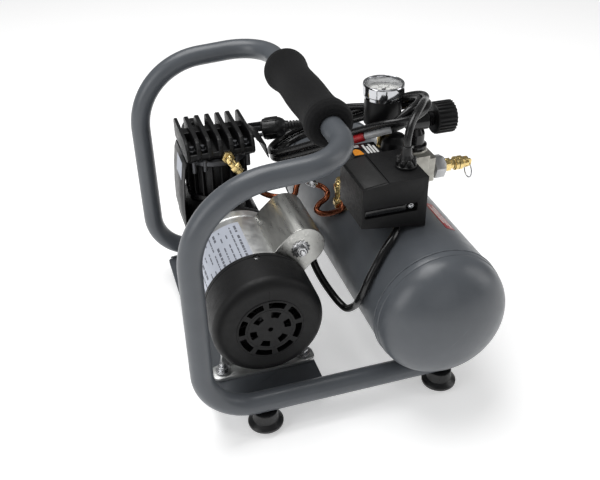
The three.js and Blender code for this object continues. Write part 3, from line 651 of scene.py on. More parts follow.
best = min(range(len(cord_line)),
           key=lambda i: (cord_line[i] - (on_hank(-90, 38.1, -3.9) - along * 2 * half * 0.27)).length)
so_far = sum((b - a).length for a, b in zip(cord_line[:best], cord_line[1:best + 1]))
collar("cord_tie", so_far - 8, so_far + 8, CORD + 0.9, red)
collar("cord_sleeve", so_far + 10, so_far + 40, CORD + 0.25, sleeve_grey)

# ------------------------------------------------------------------ carry frame
TUBE, HOOP_Y, RAIL_Z, GRIP_X, GRIP_Z = 11.1, 151.1, 33.5, 151.9, 293.0


def hoop(name, s):
    y = s * HOOP_Y
    line = bent([(268, y, RAIL_Z), (0, y, RAIL_Z), (-1, y, 282.9), (GRIP_X, y, GRIP_Z),
                 (GRIP_X, s * 62.3, GRIP_Z)], [52.7, 81.1, 46.3])
    full = []
    for a, b in zip(line, line[1:]):
        cuts = max(1, int((b - a).length / 12))
        full += [a.lerp(b, k / cuts) for k in range(cuts)]
    full.append(line[-1])
    piece(name + "_tube", sweep(full, TUBE, 40), paint, stands_for=name, bevel=0.6,
          limit=60)
    plug_cap = lathe([(0, 266), (9.2, 266), (9.2, 267.9), (10.6, 268.1), (10.6, 269.2), (8.6, 270.6),
                      (0, 271)], "x", (0, y, RAIL_Z), 40, soft=0.5)
    piece(name + "_end_cap", plug_cap, plastic)
    beads = []
    for across_tube in (-1, 1):
        line = []
        for k in range(23):
            t = -1 + 2 * k / 22
            x = 240.8 + 15 * t
            drop = math.sqrt(67.4 ** 2 - (x - 240.8) ** 2)
            z = min(112.2 - drop - 0.2, 46.5)
            reach = math.sqrt(max(TUBE ** 2 - (z - RAIL_Z) ** 2, 4.0))
            line.append(V(x, y + across_tube * (reach * 0.8 + 0.5 * math.sin(k * 1.9)),
                          z - 1.0 + 0.3 * math.sin(k * 2.7)))
        beads.append(sweep(line, [1.2 + 0.9 * math.sin(PI * k / 22) + 0.2 * math.sin(k * 2.3)
                                  for k in range(23)], 10, ends="round"))
    piece(name + "_weld", merge(*beads), paint, sharp=60)


hoop("front_hoop", -1)
hoop("rear_hoop", 1)

rise = [(11.4, -80), (18.2, -80), (21.6, -77.4), (23.5, -72.5), (23.9, -67.5), (23.2, -62.5), (21.9, -56),
        (20.7, -48), (20.1, -36), (20.4, -22),
        (20.9, -8)]
profile = rise + [(r, -h) for r, h in reversed(rise)]
profile.append(profile[0])
piece("foam_grip", lathe(profile, "y", (GRIP_X, -8, GRIP_Z), 96, soft=3.2, steps=5), foam,
      stands_for="handle_grip", sharp=60)

plate = prism(rounded_rectangle(11, -140.6, 129, 140.6, 6), "z", 24, 27)
bolt_x = (74.5 - 44, 74.5 + 44)
plate_holes = [rod(3.4, 20, 32, "z", (x, y, 0), 24) for x in bolt_x for y in (-93, 4)]
piece("sheet_base", plate, paint, stands_for="base_plate", bevel=0.7, holes=plate_holes)
welds = []
for x in (24, 52, 84, 116):
    for s in (-1, 1):
        line = [V(x - 9 + k * 1.5, s * (140.2 + 0.25 * math.sin(k * 2.1)), 28.4) for k in range(13)]
        welds.append(sweep(line, [1.0 + 0.7 * math.sin(PI * k / 12) + 0.2 * math.sin(k * 2.9)
                                  for k in range(13)], 8, ends="round"))
piece("base_welds", merge(*welds), paint, sharp=60)

foot = [(0, 0), (11.4, 0), (12.6, 1.2), (13.4, 3.0), (18.2, 5.2), (18.4, 8.2), (15.5, 10.2), (13.2, 11.6),
        (12.5, 22.1), (0, 22.1)]
for end, s in (("front", -1), ("rear", 1)):
    for where, x in (("left", 60.2), ("right", 254.3)):
        piece(f"foot_{end}_{where}_rubber", lathe(foot, "z", (x, s * HOOP_Y, 0), 64, soft=1.1, steps=4),
              rubber,
              stands_for=f"foot_{end}_{where}", sharp=50)

# ------------------------------------------------------------------ air tank
TX, TZ, TR = 240.8, 112.2, 67.3
piece("tank_shell",
      lathe([(TR, -155.4), (TR, 155.4), (TR - 0.9, 156.2), (TR - 0.9, 157.3), (TR - 2.5, 157.3),
             (TR - 2.5, -157.3), (TR - 0.9, -157.3), (TR - 0.9, -156.2), (TR, -155.4)], "y", (TX, 0, TZ),
            144), paint,
      stands_for="tank_barrel")
for name, s in (("tank_end_front", -1), ("tank_end_rear", 1)):
    curve = [(TR, 157.0), (TR + 0.15, 157.2), (TR + 0.7, 157.7), (TR + 0.7, 163.8), (TR + 0.5, 164.4),
             (TR - 0.1, 165.0)]
    for i in range(1, 31):
        a = i / 30 * PI / 2
        curve.append(((TR - 0.1) * math.cos(a), 165.6 + 41.7 * math.sin(a)))
    curve[-1] = (0, 207.3)
    piece(name + "_dome",
          lathe([(r, s * h) for r, h in [(0, 157.6), (TR - 2.6, 157.6)] + curve], "y", (TX, 0, TZ), 144),
          paint,
                stands_for=name, sharp=25)
    bead = [V(TX + (TR + 0.45) * math.cos(a), s * (156.4 + 0.25 * math.sin(a * 40)),
              TZ + (TR + 0.45) * math.sin(a)) for a in [2 * PI * k / 220 for k in range(220)]]
    piece(name + "_bead", sweep(bead, 0.9, 8, closed=True), paint, sharp=70)
seam = [V(TX + (TR - 0.1) * math.cos(math.radians(-118)), y, TZ + (TR - 0.1) * math.sin(math.radians(-118)))
        for y in range(-156, 157, 2)]
piece("tank_seam", sweep([p + V(0, 0, 0.12 * math.sin(i * 1.7)) for i, p in enumerate(seam)], 1.1, 8), paint,
      sharp=70)


def wrap(start, stop, y0, y1, radius, centre, thick=0.16, columns=24, rows=1, skew=0.0):
    """A thin sheet lying on a cylinder along Y, between two angles in degrees."""
    points, faces = [], []
    for level in (radius, radius + thick):
        for j in range(rows + 1):
            for i in range(columns + 1):
                a = math.radians(start + (stop - start) * i / columns + skew * (j / rows - 0.5))
                points.append(V(centre[0] + level * math.cos(a), y0 + (y1 - y0) * j / rows,
                                centre[1] + level * math.sin(a)))
    layer = (columns + 1) * (rows + 1)

    def grid(j, i):
        return j * (columns + 1) + i

    for j in range(rows):
        for i in range(columns):
            q = (grid(j, i), grid(j, i + 1), grid(j + 1, i + 1), grid(j + 1, i))
            faces += [q, tuple(k + layer for k in reversed(q))]
    rim = [grid(0, i) for i in range(columns + 1)] + [grid(j, columns) for j in range(1, rows + 1)]
    rim += [grid(rows, i) for i in range(columns - 1, -1, -1)] + [grid(j, 0) for j in range(rows - 1, 0, -1)]
    faces += [(rim[k], rim[(k + 1) % len(rim)], rim[(k + 1) % len(rim)] + layer, rim[k] + layer)
              for k in range(len(rim))]
    return points, faces


piece("tank_sticker", wrap(57, 67, -112, -58, TR + 0.05, (TX, TZ), columns=16), red_vinyl)
bars = [wrap(59 + 2.4 * k, 60.2 + 2.4 * k, -109 + 4 * k, -63 - 5 * (k % 2), TR + 0.22, (TX, TZ), 0.08, 8)
        for k in range(3)]
piece("tank_sticker_print", merge(*bars), white_vinyl)

DX, DY = 262, -120
drain = merge(nut(11, 38, 45, (DX, DY, 0)),
              lathe([(0, 60), (3, 60), (5.2, 57), (5.2, 45), (0, 45)], "z", (DX, DY, 0), 32, soft=0.5),
              lathe([(0, 38.2), (4.6, 38.2), (4.4, 33), (0, 33)], "z", (DX, DY, 0), 32, soft=0.4))
piece("drain_cock", drain, brass, stands_for="drain_valve_body", bevel=0.3)
wing = prism(rounded([(-12, 25.2), (12, 25.2), (12, 29.8), (4.5, 29.8), (3, 31.5), (-3, 31.5), (-4.5, 29.8),
                      (-12, 29.8)], 1.6), "y", -1.5, 1.5)
handle = merge(moved(wing, DX, DY, 0), rod(4.3, 24.6, 32.6, "z", (DX, DY, 0), 32, soft=0.6))
piece("drain_wing", handle, brass, body="drain_handle", stands_for="drain_handle", bevel=0.3)

# ------------------------------------------------------------------ motor
MX, MZ, MR = 74.5, 107.0, 54.0
shell = lathe([(0, -85.5), (51.5, -85.5), (54, -84.2), (54, -3.2), (53.4, -2.4), (53.4, -0.8), (54, 0),
               (54, 11.2), (53, 12), (0, 12)], "y", (MX, 0, MZ), 128, soft=0.5)
piece("motor_shell", shell, cast_silver, stands_for="motor_housing", sharp=30)
piece("motor_plate", wrap(91, 171, -78, -12, MR + 0.06, (MX, MZ), columns=40), label_face)
rows = []
for k in range(11):
    angle = 96 + k * 6.6
    y = -76.0
    while y < -20:
        length = random.uniform(2.5, 9)
        if random.random() < 0.84:
            rows.append(wrap(angle, angle + (1.5 if k % 4 else 2.6), y, min(y + length, -16), MR + 0.22,
                             (MX, MZ), 0.05, 2))
        y += length + random.uniform(0.9, 2.2)
piece("motor_plate_print", merge(*rows), ink)

FR, FY0, FY1 = 57.0, -131.0, -80.0
cup = [(0, FY0), (33.3, FY0), (34.8, FY0 + 0.5), (45, FY0 + 0.7)]
for i in range(1, 12):
    a = i / 11 * PI / 2
    cup.append((FR - 12 + 12 * math.sin(a), FY0 + 0.8 + 11 - 11 * math.cos(a)))
cup += [(FR, FY1 - 6), (FR - 0.5, FY1 - 5.6), (FR - 0.5, FY1 - 4.8), (FR, FY1 - 4.4), (FR, FY1),
        (FR - 2, FY1), (FR - 2, FY0 + 13)]
for i in range(10, -1, -1):
    a = i / 11 * PI / 2
    cup.append((FR - 12 + 10 * math.sin(a), FY0 + 2.8 + 9 - 9 * math.cos(a)))
cup += [(0, FY0 + 2.8)]


def arc_slot(r0, r1, middle_angle, width):
    outline = rounded(circle(r1, 7, start=middle_angle - width / 2, sweep=width, ends=True) +
               list(reversed(circle(r0, 7, start=middle_angle - width / 2, sweep=width, ends=True))), 1.1, 3)
    return prism([(x + MX, z + MZ) for x, z in outline], "y", FY0 - 4, FY0 + 8)


holes = [arc_slot(25.8, 32.4, (i + 0.5) * PI / 4 + 0.12, 0.60) for i in range(8)]
holes += [arc_slot(14.2, 21, i * PI / 3 + 0.2, 0.52) for i in range(6)]
holes += [rod(2.6, FY0 - 4, FY0 + 8, "y", (MX, 0, MZ), 24)]
holes += [rod(3.9, 45, 70, "z", (MX, -86, MZ), 28)]
piece("fan_cowl", lathe(cup, "y", (MX, 0, MZ), 128), cover_plastic,
      stands_for="fan_cover", holes=[merge(*holes)], sharp=35)
rim_lines = [torus((MX, FY0 + 0.2, MZ), "y", r, 0.45, 96, 8) for r in (23.5, 34.2)]
rim_lines.append(sweep([V(MX + 0.4, FY0 + 0.55, MZ + r) for r in (35, 38.5, 42, 45)], 0.35, 8))
piece("fan_cowl_ribs", merge(*rim_lines), cover_plastic, sharp=60)
piece("fan_cowl_screw",
      merge(lathe([(0, 52), (3.2, 52), (3.2, 54.6), (2.2, 55.4), (0, 55.6)], "z", (MX, -86, MZ), 32,
                  soft=0.3),
      turned_by(block(MX - 2.2, MX + 2.2, -86.4, -85.6, MZ + 55.3, MZ + 55.8), "Z", 30, (MX, -86, 0))), steel,
      bevel=0.15)


def bracket(name, y0, y1):
    deck = prism(rounded_rectangle(MX - 56, y0, MX + 56, y1, 9, 8), "z", 27.3, 31.3)
    web = prism([(MX - 46, 30), (MX + 46, 30), (MX + 40, 72), (MX - 40, 72)], "y", y1 - 5, y1)
    pads = [lathe([(0, 31), (10, 31), (9.2, 33), (0, 33)], "z", (x, (y0 + y1) / 2, 0), 40, soft=0.6)
            for x in bolt_x]
    bore = rod(57.8, y0 - 6, y1 + 6, "y", (MX, 0, MZ), 96)
    piece(name + "_casting", merge(deck, web, *pads), cast_silver, stands_for=name,
          bevel=0.8, holes=[bore])


bracket("motor_foot_front", -104, -82)
bracket("motor_foot_rear", -7, 15)


def bolt(x, y, z):
    return merge(rod(8.2, z, z + 1.2, "z", (x, y, 0), 40, soft=0.3),
                 nut(10, z + 1.2, z + 6.4, (x, y, 0)),
                 lathe([(0, z + 6.4), (3.4, z + 6.4), (3.0, z + 9.5), (0, z + 9.5)], "z", (x, y, 0), 24,
                       soft=0.4))


piece("bolt_left", bolt(bolt_x[0], -93, 33), steel, stands_for="motor_bolt_left", bevel=0.25)
piece("bolt_right", bolt(bolt_x[1], -93, 33), steel, stands_for="motor_bolt_right", bevel=0.25)
piece("rear_bolts", merge(bolt(bolt_x[0], 4, 33), bolt(bolt_x[1], 4, 33)), steel, bevel=0.25)

# ------------------------------------------------------------------ capacitor cover
CX, CZ, CR, CY0, CY1 = 126.5, 159.4, 22.0, -78.0, -2.0


def cap_outline():
    arc = circle(CR, 40, CX, CZ, math.radians(-66), math.radians(200), ends=True)
    return arc + [(CX - 26, CZ + 6), (CX - 36, CZ - 6), (CX - 30, CZ - 26), (CX - 4, CZ - 34)]


motor_bore = rod(MR + 0.3, -90, 10, "y", (MX, 0, MZ), 128)
piece("capacitor_shell", prism(cap_outline(), "y", CY0, CY1), pressed_silver,
      stands_for="capacitor_cover", bevel=2.6, segments=5, holes=[motor_bore], limit=40)
CNX, CNZ = CX - 4, CZ - 1
star = [(CNX + (10.4 if k % 2 else 8.4) * math.cos(2 * PI * k / 28),
         CNZ + (10.4 if k % 2 else 8.4) * math.sin(2 * PI * k / 28)) for k in range(28)]
washer = merge(prism(star, "y", CY0 - 1.0, CY0),
               lathe([(0, CY0 - 1.6), (7.6, CY0 - 1.6), (8.0, CY0 - 0.8), (0, CY0 - 0.8)], "y", (CNX, 0, CNZ),
                     48))
nut_shell = merge(washer, nut(10.4, CY0 - 7.4, CY0 - 1.4, (CNX, 0, CNZ), "y"),
                  lathe([(0, CY0 - 9.6), (2.6, CY0 - 9.6), (3.0, CY0 - 9.0), (3.0, CY0 - 7), (0, CY0 - 7)],
                        "y", (CNX, 0, CNZ), 24))
piece("capacitor_nut", nut_shell, steel, bevel=0.25)

# ------------------------------------------------------------------ pump
PUMP_Y = 98
case = merge(
    lathe([(0, 12.3), (54, 12.3), (54, 18.3), (45.5, 19.5), (44, 22), (44, 52), (42.5, 54), (42.5, 60),
           (44, 62), (44, 131), (0, 131)], "y", (MX, 0, MZ), 96, soft=0.8),
    lathe([(0, MZ), (33, MZ), (33, 142), (36, 146), (36, 151.7), (0, 151.7)], "z", (MX, PUMP_Y, 0), 80,
          soft=0.8),
    *[turned_by(block(MX - 2, MX + 2, 20, 54, MZ + 40, MZ + 50), "Y", a, (MX, 0, MZ))
      for a in (-70, -35, 35, 70, 110, 250)],
)
piece("crankcase_casting", case, cast_black, stands_for="crankcase", bevel=0.7)
edge = softened([(37.5, 197), (35, 190), (32.4, 170), (30.6, 145), (30.2, 122), (32.5, 104)], 6, 5)
sheet_outline = [(p.x, p.y) for p in edge] + [(p.x - 1.4, p.y) for p in reversed(edge)]
piece("side_sheet", prism(sheet_outline, "y", 66, 132), satin_black, bevel=0.4)
strip = [(p.x - 1.45, p.y) for p in edge if 148 < p.y < 192]
piece("side_sheet_strip", prism(strip + [(x - 0.15, z) for x, z in reversed(strip)], "y", 82, 112),
      label_face)
flange_bolts = []
for k in range(4):
    a = PI / 4 + k * PI / 2
    flange_bolts.append(nut(7, 18.2, 22.4, (MX + 49 * math.cos(a), 0, MZ + 49 * math.sin(a)), "y"))
for k in range(6):
    a = PI / 6 + k * PI / 3
    flange_bolts.append(nut(6, 137.2, 140.6, (MX + 38.4 * math.cos(a), 0, MZ + 38.4 * math.sin(a)), "y"))
piece("case_bolts", merge(*flange_bolts), steel, bevel=0.2)
piece("case_end_cover",
      lathe([(0, 139), (12, 139), (14, 137.8), (26, 137.8), (28, 139), (34, 139), (36, 137.5), (40, 137.5),
             (43.5, 135), (43.5, 131.3), (0, 131.3)],
      "y", (MX, 0, MZ), 96, soft=0.8), cast_silver, stands_for="crankcase_cover")

fins = []
for i in range(20):
    a = 2 * PI * i / 20
    fin = rounded([(29, -1.35), (36.6, -1.0), (36.6, 1.0), (29, 1.35)], 0.8, 3)
    spin = [(x * math.cos(a) - y * math.sin(a) + MX, x * math.sin(a) + y * math.cos(a) + PUMP_Y) for x,
            y in fin]
    fins.append(prism(spin, "z", 152, 191.5))
barrel = lathe([(25, 152), (31.6, 152), (31.6, 191.5), (25, 191.5), (25, 152)], "z", (MX, PUMP_Y, 0), 80)
piece("cylinder_fins", merge(barrel, *fins), cast_black, stands_for="cylinder", bevel=0.3)
piece("valve_ring",
      lathe([(0, 191.8), (38.2, 191.8), (39.0, 192.6), (39.0, 196.6), (38.2, 197.7), (0, 197.7)], "z",
            (MX, PUMP_Y, 0), 96, soft=0.4), laminated,
      stands_for="valve_plate")

HX0, HX1, HY0, HY1, HZ0, HZ1 = 36.5, 114.0, 58.0, 141.0, 198.0, 223.0
pitch = (HX1 - HX0 - 4) / 6
fin_side = rounded([(HY0 + 5, HZ0 + 2), (HY0, HZ0 + 7), (HY0 + 2, HZ1 - 8), (HY0 + 9, HZ1 - 1.5),
                    (HY0 + 16, HZ1), (HY1 - 6, HZ1),
            (HY1, HZ1 - 4), (HY1, HZ0)], 4.0, 5)
head = [block(HX0 + 2, HX1 - 2, HY0 + 8, HY1 - 4, HZ0, HZ0 + 7)]
for i in range(7):
    x = HX0 + 2 + i * pitch
    head.append(prism(fin_side, "x", x - 2.5, x + 2.5) if 0 < i < 6 else prism(fin_side, "x", x - 1.9,
                                                                               x + 1.9))
near_bar = [(HY0 + 2.5, HZ0 + 4), (HY0 + 1, HZ0 + 7), (HY0 + 1.6, HZ0 + 11.5), (HY0 + 5, HZ0 + 11.5),
            (HY0 + 6, HZ0 + 4)]
head.append(prism(near_bar, "x", HX0 + 2, HX1 - 2))
head.append(block(HX0 + 2, HX1 - 2, HY1 - 34, HY1 - 20, HZ0 + 6, HZ1 - 8))
piece("head_casting", merge(*head), cast_black, stands_for="cylinder_head", bevel=0.9,
      segments=3)
studs = []
for x in (HX0 + 2 + pitch * 0.5, HX0 + 2 + pitch * 1.5, HX0 + 2 + pitch * 4.5, HX0 + 2 + pitch * 5.5):
    studs.append(merge(nut(8, HZ0 + 7, HZ0 + 12, (x, HY0 + 15, 0)),
                       lathe([(0, HZ0 + 12), (2.6, HZ0 + 12), (2.4, HZ0 + 16), (0, HZ0 + 16)], "z",
                             (x, HY0 + 15, 0), 20, soft=0.3)))
    studs.append(rod(2.4, 186, HZ0 + 1, "z", (x, HY0 + 5.4 + 1, 0), 20))
for x in (HX0 + 2 + pitch * 0.5, HX0 + 2 + pitch * 5.5):
    studs.append(nut(8, HZ0 + 7, HZ0 + 12, (x, HY1 - 12, 0)))
piece("head_studs", merge(*studs), laminated, bevel=0.2)
wing_line = [(HX1 + 0.3, HZ1 - 1.5), (HX1 + 5, HZ1 - 5), (HX1 + 11, HZ1 - 10), (HX1 + 14, HZ0 - 1.8),
             (HX1 + 12.6, HZ0 - 1.8), (HX1 + 9.6, HZ1 - 11), (HX1 + 4, HZ1 - 6.6), (HX1 + 0.3, HZ1 - 3.3)]
piece("shroud_sheet", prism(rounded(wing_line, 2, 4), "y", HY0 - 4, HY0 + 38), plastic,
      stands_for="head_shroud", bevel=0.35)
piece("filter_can",
      merge(lathe([(0, 141.3), (9, 141.3), (9, 146), (12.4, 147.4), (13, 149), (13, 159), (12, 161.4),
                   (0, 162)], "y", (MX - 14, 0, 196), 64, soft=0.7),
      *[turned_by(block(MX - 14.8, MX - 13.2, 150, 158, 196 + 12.4, 196 + 13.3), "Y", a, (MX - 14, 0, 196))
        for a in range(0, 360, 20)]),
      plastic, stands_for="intake_filter", bevel=0.3)

# ------------------------------------------------------------------ air line
corner, mouth = V(81.4, 49, 203.5), V(92, 44.4, 188.4)
elbow = smooth_line(bent([(81.4, 57.7, 203.5), corner, mouth], [6], 12), 1.2)
elbow_end = (mouth - corner).normalized()
fitting = merge(sweep(elbow, 4.9, 28), nut(12.5, 52, 57.4, (81.4, 0, 203.5), "y"),
                aimed(nut(11.5, 0, 7), elbow_end, corner + elbow_end * 7.5),
                aimed(lathe([(0, 14), (4.6, 14), (4.6, 17.4), (3.6, 19), (0, 19)], sides=32, soft=0.4),
                      elbow_end, corner + elbow_end * 0.3),
                lathe([(0, -1.8), (5.6, -1.8), (6.4, 0), (5.6, 1.8), (0, 1.8)], "x", corner, 36, soft=0.6))
piece("brass_elbow", fitting, brass, stands_for="head_elbow", bevel=0.3)
line_points = [
    V(93.3, 43.8, 186.6), V(102.5, 38, 175.5), V(112.8, 31, 166), V(122.5, 27, 162), V(132, 23, 161.5),
    V(141, 20, 160.5), V(147, 20, 164.5),
    V(149.5, 22, 172), V(155, 24, 179), V(163, 24, 178.5), V(171, 22, 171.5), V(178.5, 18, 168.5),
    V(182, 11.5, 165), V(180, 7, 161),
    V(172, 11, 151), V(168.5, 9, 146), V(170.5, 3, 144.5), V(176, -4, 146.5), V(182.5, -15, 154),
    V(187.5, -22.5, 162), V(190, -20, 167.5), V(190, -14.9, 168.5)]
copper_line = smooth_line(line_points, 1.5)
piece("copper_line", sweep(copper_line, 3.25, 20), copper, stands_for="discharge_tube",
      sharp=60)
nut_dir = (V(171, 22, 171.5) - V(163, 24, 178.5)).normalized()
piece("line_nut",
      merge(aimed(nut(10.5, -5, 3.4), nut_dir, V(167.4, 23, 174.6)),
            aimed(lathe([(0, 3), (4.6, 3), (4.2, 6.4), (0, 6.4)], sides=28, soft=0.3), nut_dir,
                  V(167.4, 23, 174.6))),
      steel, bevel=0.25)
VX, VY = 190, -8
piece("check_valve_body",
      merge(nut(13, 158, 166, (VX, VY, 0)), nut(12, 176, 184, (VX, VY, 0)),
            lathe([(0, 153), (4, 153), (5.4, 155), (5.4, 186), (4.5, 187.5), (4.5, 191), (0, 191)], "z",
                  (VX, VY, 0), 40, soft=0.4),
      nut(10, 0, 4.5, (VX, VY - 11.6, 168.5), "y"), rod(4.2, -11, -5, "y", (VX, VY, 168.5), 28, soft=0.3)),
      brass, stands_for="check_valve", bevel=0.3)

# ------------------------------------------------------------------ pressure switch
BX0, BX1, BY0, BY1, BZ0, BZ1 = 175.5, 244.0, -110.0, -47.0, 180.5, 237.0
side_view = [(BX0, 190), (BX1, BZ0), (BX1, BZ1), (BX0 + 27, BZ1), (BX0 + 25.5, BZ1 - 0.8), (BX0, BZ1 - 4.2)]
recess = prism(rounded_rectangle(BX0 + 3, BZ0 + 20, BX1 - 10, BZ0 + 29.4, 1.6, 3), "y", BY0 - 4, BY0 + 5.5)
groove = block(BX0 + 26.2, BX0 + 27.4, BY0 - 3, BY1 + 3, BZ1 - 1.3, BZ1 + 3)
piece("switch_cover", prism(side_view, "y", BY0, BY1), plastic,
      stands_for="pressure_switch_cover", bevel=1.9, segments=4,
            holes=[recess, groove], limit=25)
panel = prism([(BX0 + 2.4, BZ1 - 3.9), (BX0 + 25, BZ1 - 0.86), (BX0 + 25, BZ1 - 0.2), (BX0 + 2.4, BZ1 - 3.2)],
              "y", BY0 + 2.6, BY1 - 2.6)
piece("switch_cover_panel", panel, plastic_panel, bevel=0.35)
bar = merge(prism(rounded_rectangle(BX0 + 4, BZ0 + 21.4, BX1 - 22, BZ0 + 27.6, 1.2, 3), "y", BY0 + 1.8,
                  BY0 + 5.6), block(BX0 + 3.4, BX1 - 11, BY0 + 4.2, BY0 + 5.6, BZ0 + 20.4, BZ0 + 29))
piece("switch_cover_bar", bar, plastic_gloss, bevel=0.4)
SX, SZ = BX1 - 16, BZ0 + 24.8
piece("switch_cover_screw",
      merge(lathe([(0, BY0 + 0.9), (1.5, BY0 + 0.9), (2.3, BY0 + 1.8), (2.4, BY0 + 3), (0, BY0 + 3)], "y",
                  (SX, 0, SZ), 36, soft=0.4),
      rod(3, BY0 + 2.4, BY0 + 3.6, "y", (SX, 0, SZ), 36, soft=0.2)), steel, bevel=0.15)
GX, GY = 231, -83
gland = [lathe([(0, BZ1 + 0.3), (11, BZ1 + 0.3), (11, BZ1 + 2.4), (10, BZ1 + 3), (9, BZ1 + 6.4),
                (0, BZ1 + 6.4)], "z", (GX, GY, 0), 48, soft=0.5)]
for k in range(8):
    a = 2 * PI * k / 8
    gland.append(lathe([(0, BZ1 + 2.4), (2.9, BZ1 + 2.4), (3.1, BZ1 + 7.4), (2.0, BZ1 + 9.6), (0, BZ1 + 10)],
                       "z", (GX + 8 * math.cos(a), GY + 8 * math.sin(a), 0), 20, soft=0.8))
gland.append(lathe([(0, BZ1 + 6), (7.6, BZ1 + 6), (7.2, BZ1 + 10), (5.6, BZ1 + 13), (4.9, BZ1 + 21.6),
                    (4.2, BZ1 + 21.9), (0, BZ1 + 21.9)], "z", (GX, GY, 0), 48, soft=1.0))
piece("gland_body", merge(*gland), rubber, stands_for="cable_gland", bevel=0.3)

base = merge(
    prism(rounded_rectangle(197, -46.5, 250, 16, 4), "z", 192, 210.6),
    prism(rounded_rectangle(190.2, -46.5, 222, -20.2, 2), "z", 192.2, 235.6),
    prism(rounded_rectangle(224, -45, 248, -22, 3), "z", 210, 213),
    lathe([(0, 168), (8, 168), (8, 190), (11, 191), (11, 193), (0, 193)], "z", (240.8, 2, 0), 48, soft=0.6),
)
piece("switch_base", base, plastic, stands_for="pressure_switch_base", bevel=1.1,
      segments=3)
dome = lathe([(0, 208), (15.8, 208), (15.8, 214), (15.2, 218), (13.8, 225), (9.6, 230.8), (0, 232.8)], "z",
             (254, -4, 0), 72, soft=2.0, steps=5)
piece("switch_dome", dome, satin_black, sharp=50)
piece("switch_plate", prism(rounded_rectangle(190.8, -46, 221.4, -20.8, 1.5), "z", 235.6, 236.0),
      plastic_gloss, bevel=0.1)
mark = rounded([(191.8, -45), (202.6, -45), (200.8, -34.4), (197, -31.4), (193.2, -34.4)], 1.6)
piece("switch_plate_mark", prism(mark, "z", 236.0, 236.2), amber)
lines = [block(206.4 + 3.4 * k, 208.6 + 3.4 * k, -44.6, -25 - 4 * (k % 2), 236.0, 236.2) for k in range(4)]
lines += [block(193, 203, -25.4 - 2.6 * k, -24.2 - 2.6 * k, 236.0, 236.2) for k in range(2)]
piece("switch_plate_print", merge(*lines), white_vinyl)
terminal = merge(*[lathe([(0, 213.5), (3.4, 213.5), (3.4, 216), (2.8, 216.6), (0, 216.6)], "z", (x, y, 0), 32,
                         soft=0.3) for x, y in ((206, -52), (228, -18.5), (208, -6))])
piece("switch_base_screws", terminal, steel, bevel=0.15)
lever = merge(lathe([(0, 0), (6, 0), (6, 3.6), (5.2, 4.5), (0, 4.5)], "x", sides=48, soft=0.5),
              prism(rounded([(-2.7, 0), (2.7, 0), (2.2, 19), (-2.2, 19)], 1.2), "x", 0.5, 4))
piece("lever_body", moved(lever, BX1 + 0.3, -84, 208), red, body="switch_lever",
      stands_for="switch_lever", bevel=0.4)
cable_points = [
    V(142.5, -52, 133), V(144.5, -56, 120), V(149, -66, 107.5), V(155, -80, 97), V(160, -92, 91),
    V(164.3, -102, 89.5)]
for degrees, y in ((189, -114), (176, -126), (164, -132), (152, -131.5), (140, -128), (128, -121),
                   (118, -114)):
    a = math.radians(degrees)
    cable_points.append(V(TX + 72.3 * math.cos(a), y, TZ + 72.3 * math.sin(a)))
cable_points += [V(215, -105, 179), V(217, -98, 181), V(217, -92, 186), V(217, -89, 196)]
piece("cable_to_motor", sweep(smooth_line(cable_points, 2.5), 4.0, 20), cable_skin,
      stands_for="motor_cable", sharp=60)

# ------------------------------------------------------------------ manifold, regulator, gauge
RX, RY, RZ = 283, 8, 238
COUPLER_X, COUPLER_Z = 268, 191.5
block_shell = merge(
    prism(rounded_rectangle(250.4, -11, 303, 23, 4), "z", 182, 198.4),
    lathe([(0, 190), (15, 190), (15, 203), (14, 206), (0, 206)], "z", (RX, RY, 0), 64, soft=1.0),
    rod(12.4, 255, 262, "x", (0, 2, 190), 48, soft=0.8),
    prism(rounded_rectangle(281, -10, 303, 14, 4), "z", 169, 184),
    rod(10.4, 14, 23, "y", (COUPLER_X, 0, COUPLER_Z), 48, soft=0.6),
    prism(rounded_rectangle(272, -14, 294, 2, 3), "z", 186, 204),
)
piece("manifold_casting", block_shell, zinc, stands_for="manifold", bevel=1.2, segments=3)
bonnet = merge(
    lathe([(0, 206.3), (14.2, 206.3), (14.2, 211), (11, 213), (11, 224), (9.6, 228), (8.2, 231), (8.2, 238),
           (0, 238)], "z", (RX, RY, 0), 64, soft=1.0),
    lathe([(0, 272), (9, 272), (11, 275), (11, 295), (8, 297.4), (8, 303), (0, 303)], "x", (0, RY, RZ), 64,
          soft=0.9),
)
piece("regulator_bonnet", bonnet, plastic_gloss, stands_for="regulator_body", bevel=0.4)
KR = 18.0
knob_outline = []
for k in range(24):
    a = 2 * PI * k / 24
    for r, d in ((KR - 1.7, -0.085), (KR - 0.25, -0.055), (KR, 0.0), (KR - 0.25, 0.055), (KR - 1.7, 0.085)):
        knob_outline.append((RY + r * math.cos(a + d), RZ + r * math.sin(a + d)))
knob = merge(prism(knob_outline, "x", 304.2, 325.4),
             lathe([(0, 303.2), (KR - 1.2, 303.2), (KR - 0.9, 304.8), (0, 304.8)], "x", (0, RY, RZ), 72),
             lathe([(0, 324.8), (15.4, 324.8), (15.0, 326.6), (12.6, 327), (11.6, 325.9), (0, 325.7)], "x",
                   (0, RY, RZ), 72, soft=0.4))
piece("ribbed_knob", knob, plastic, body="regulator_knob", stands_for="regulator_knob",
      bevel=0.55)

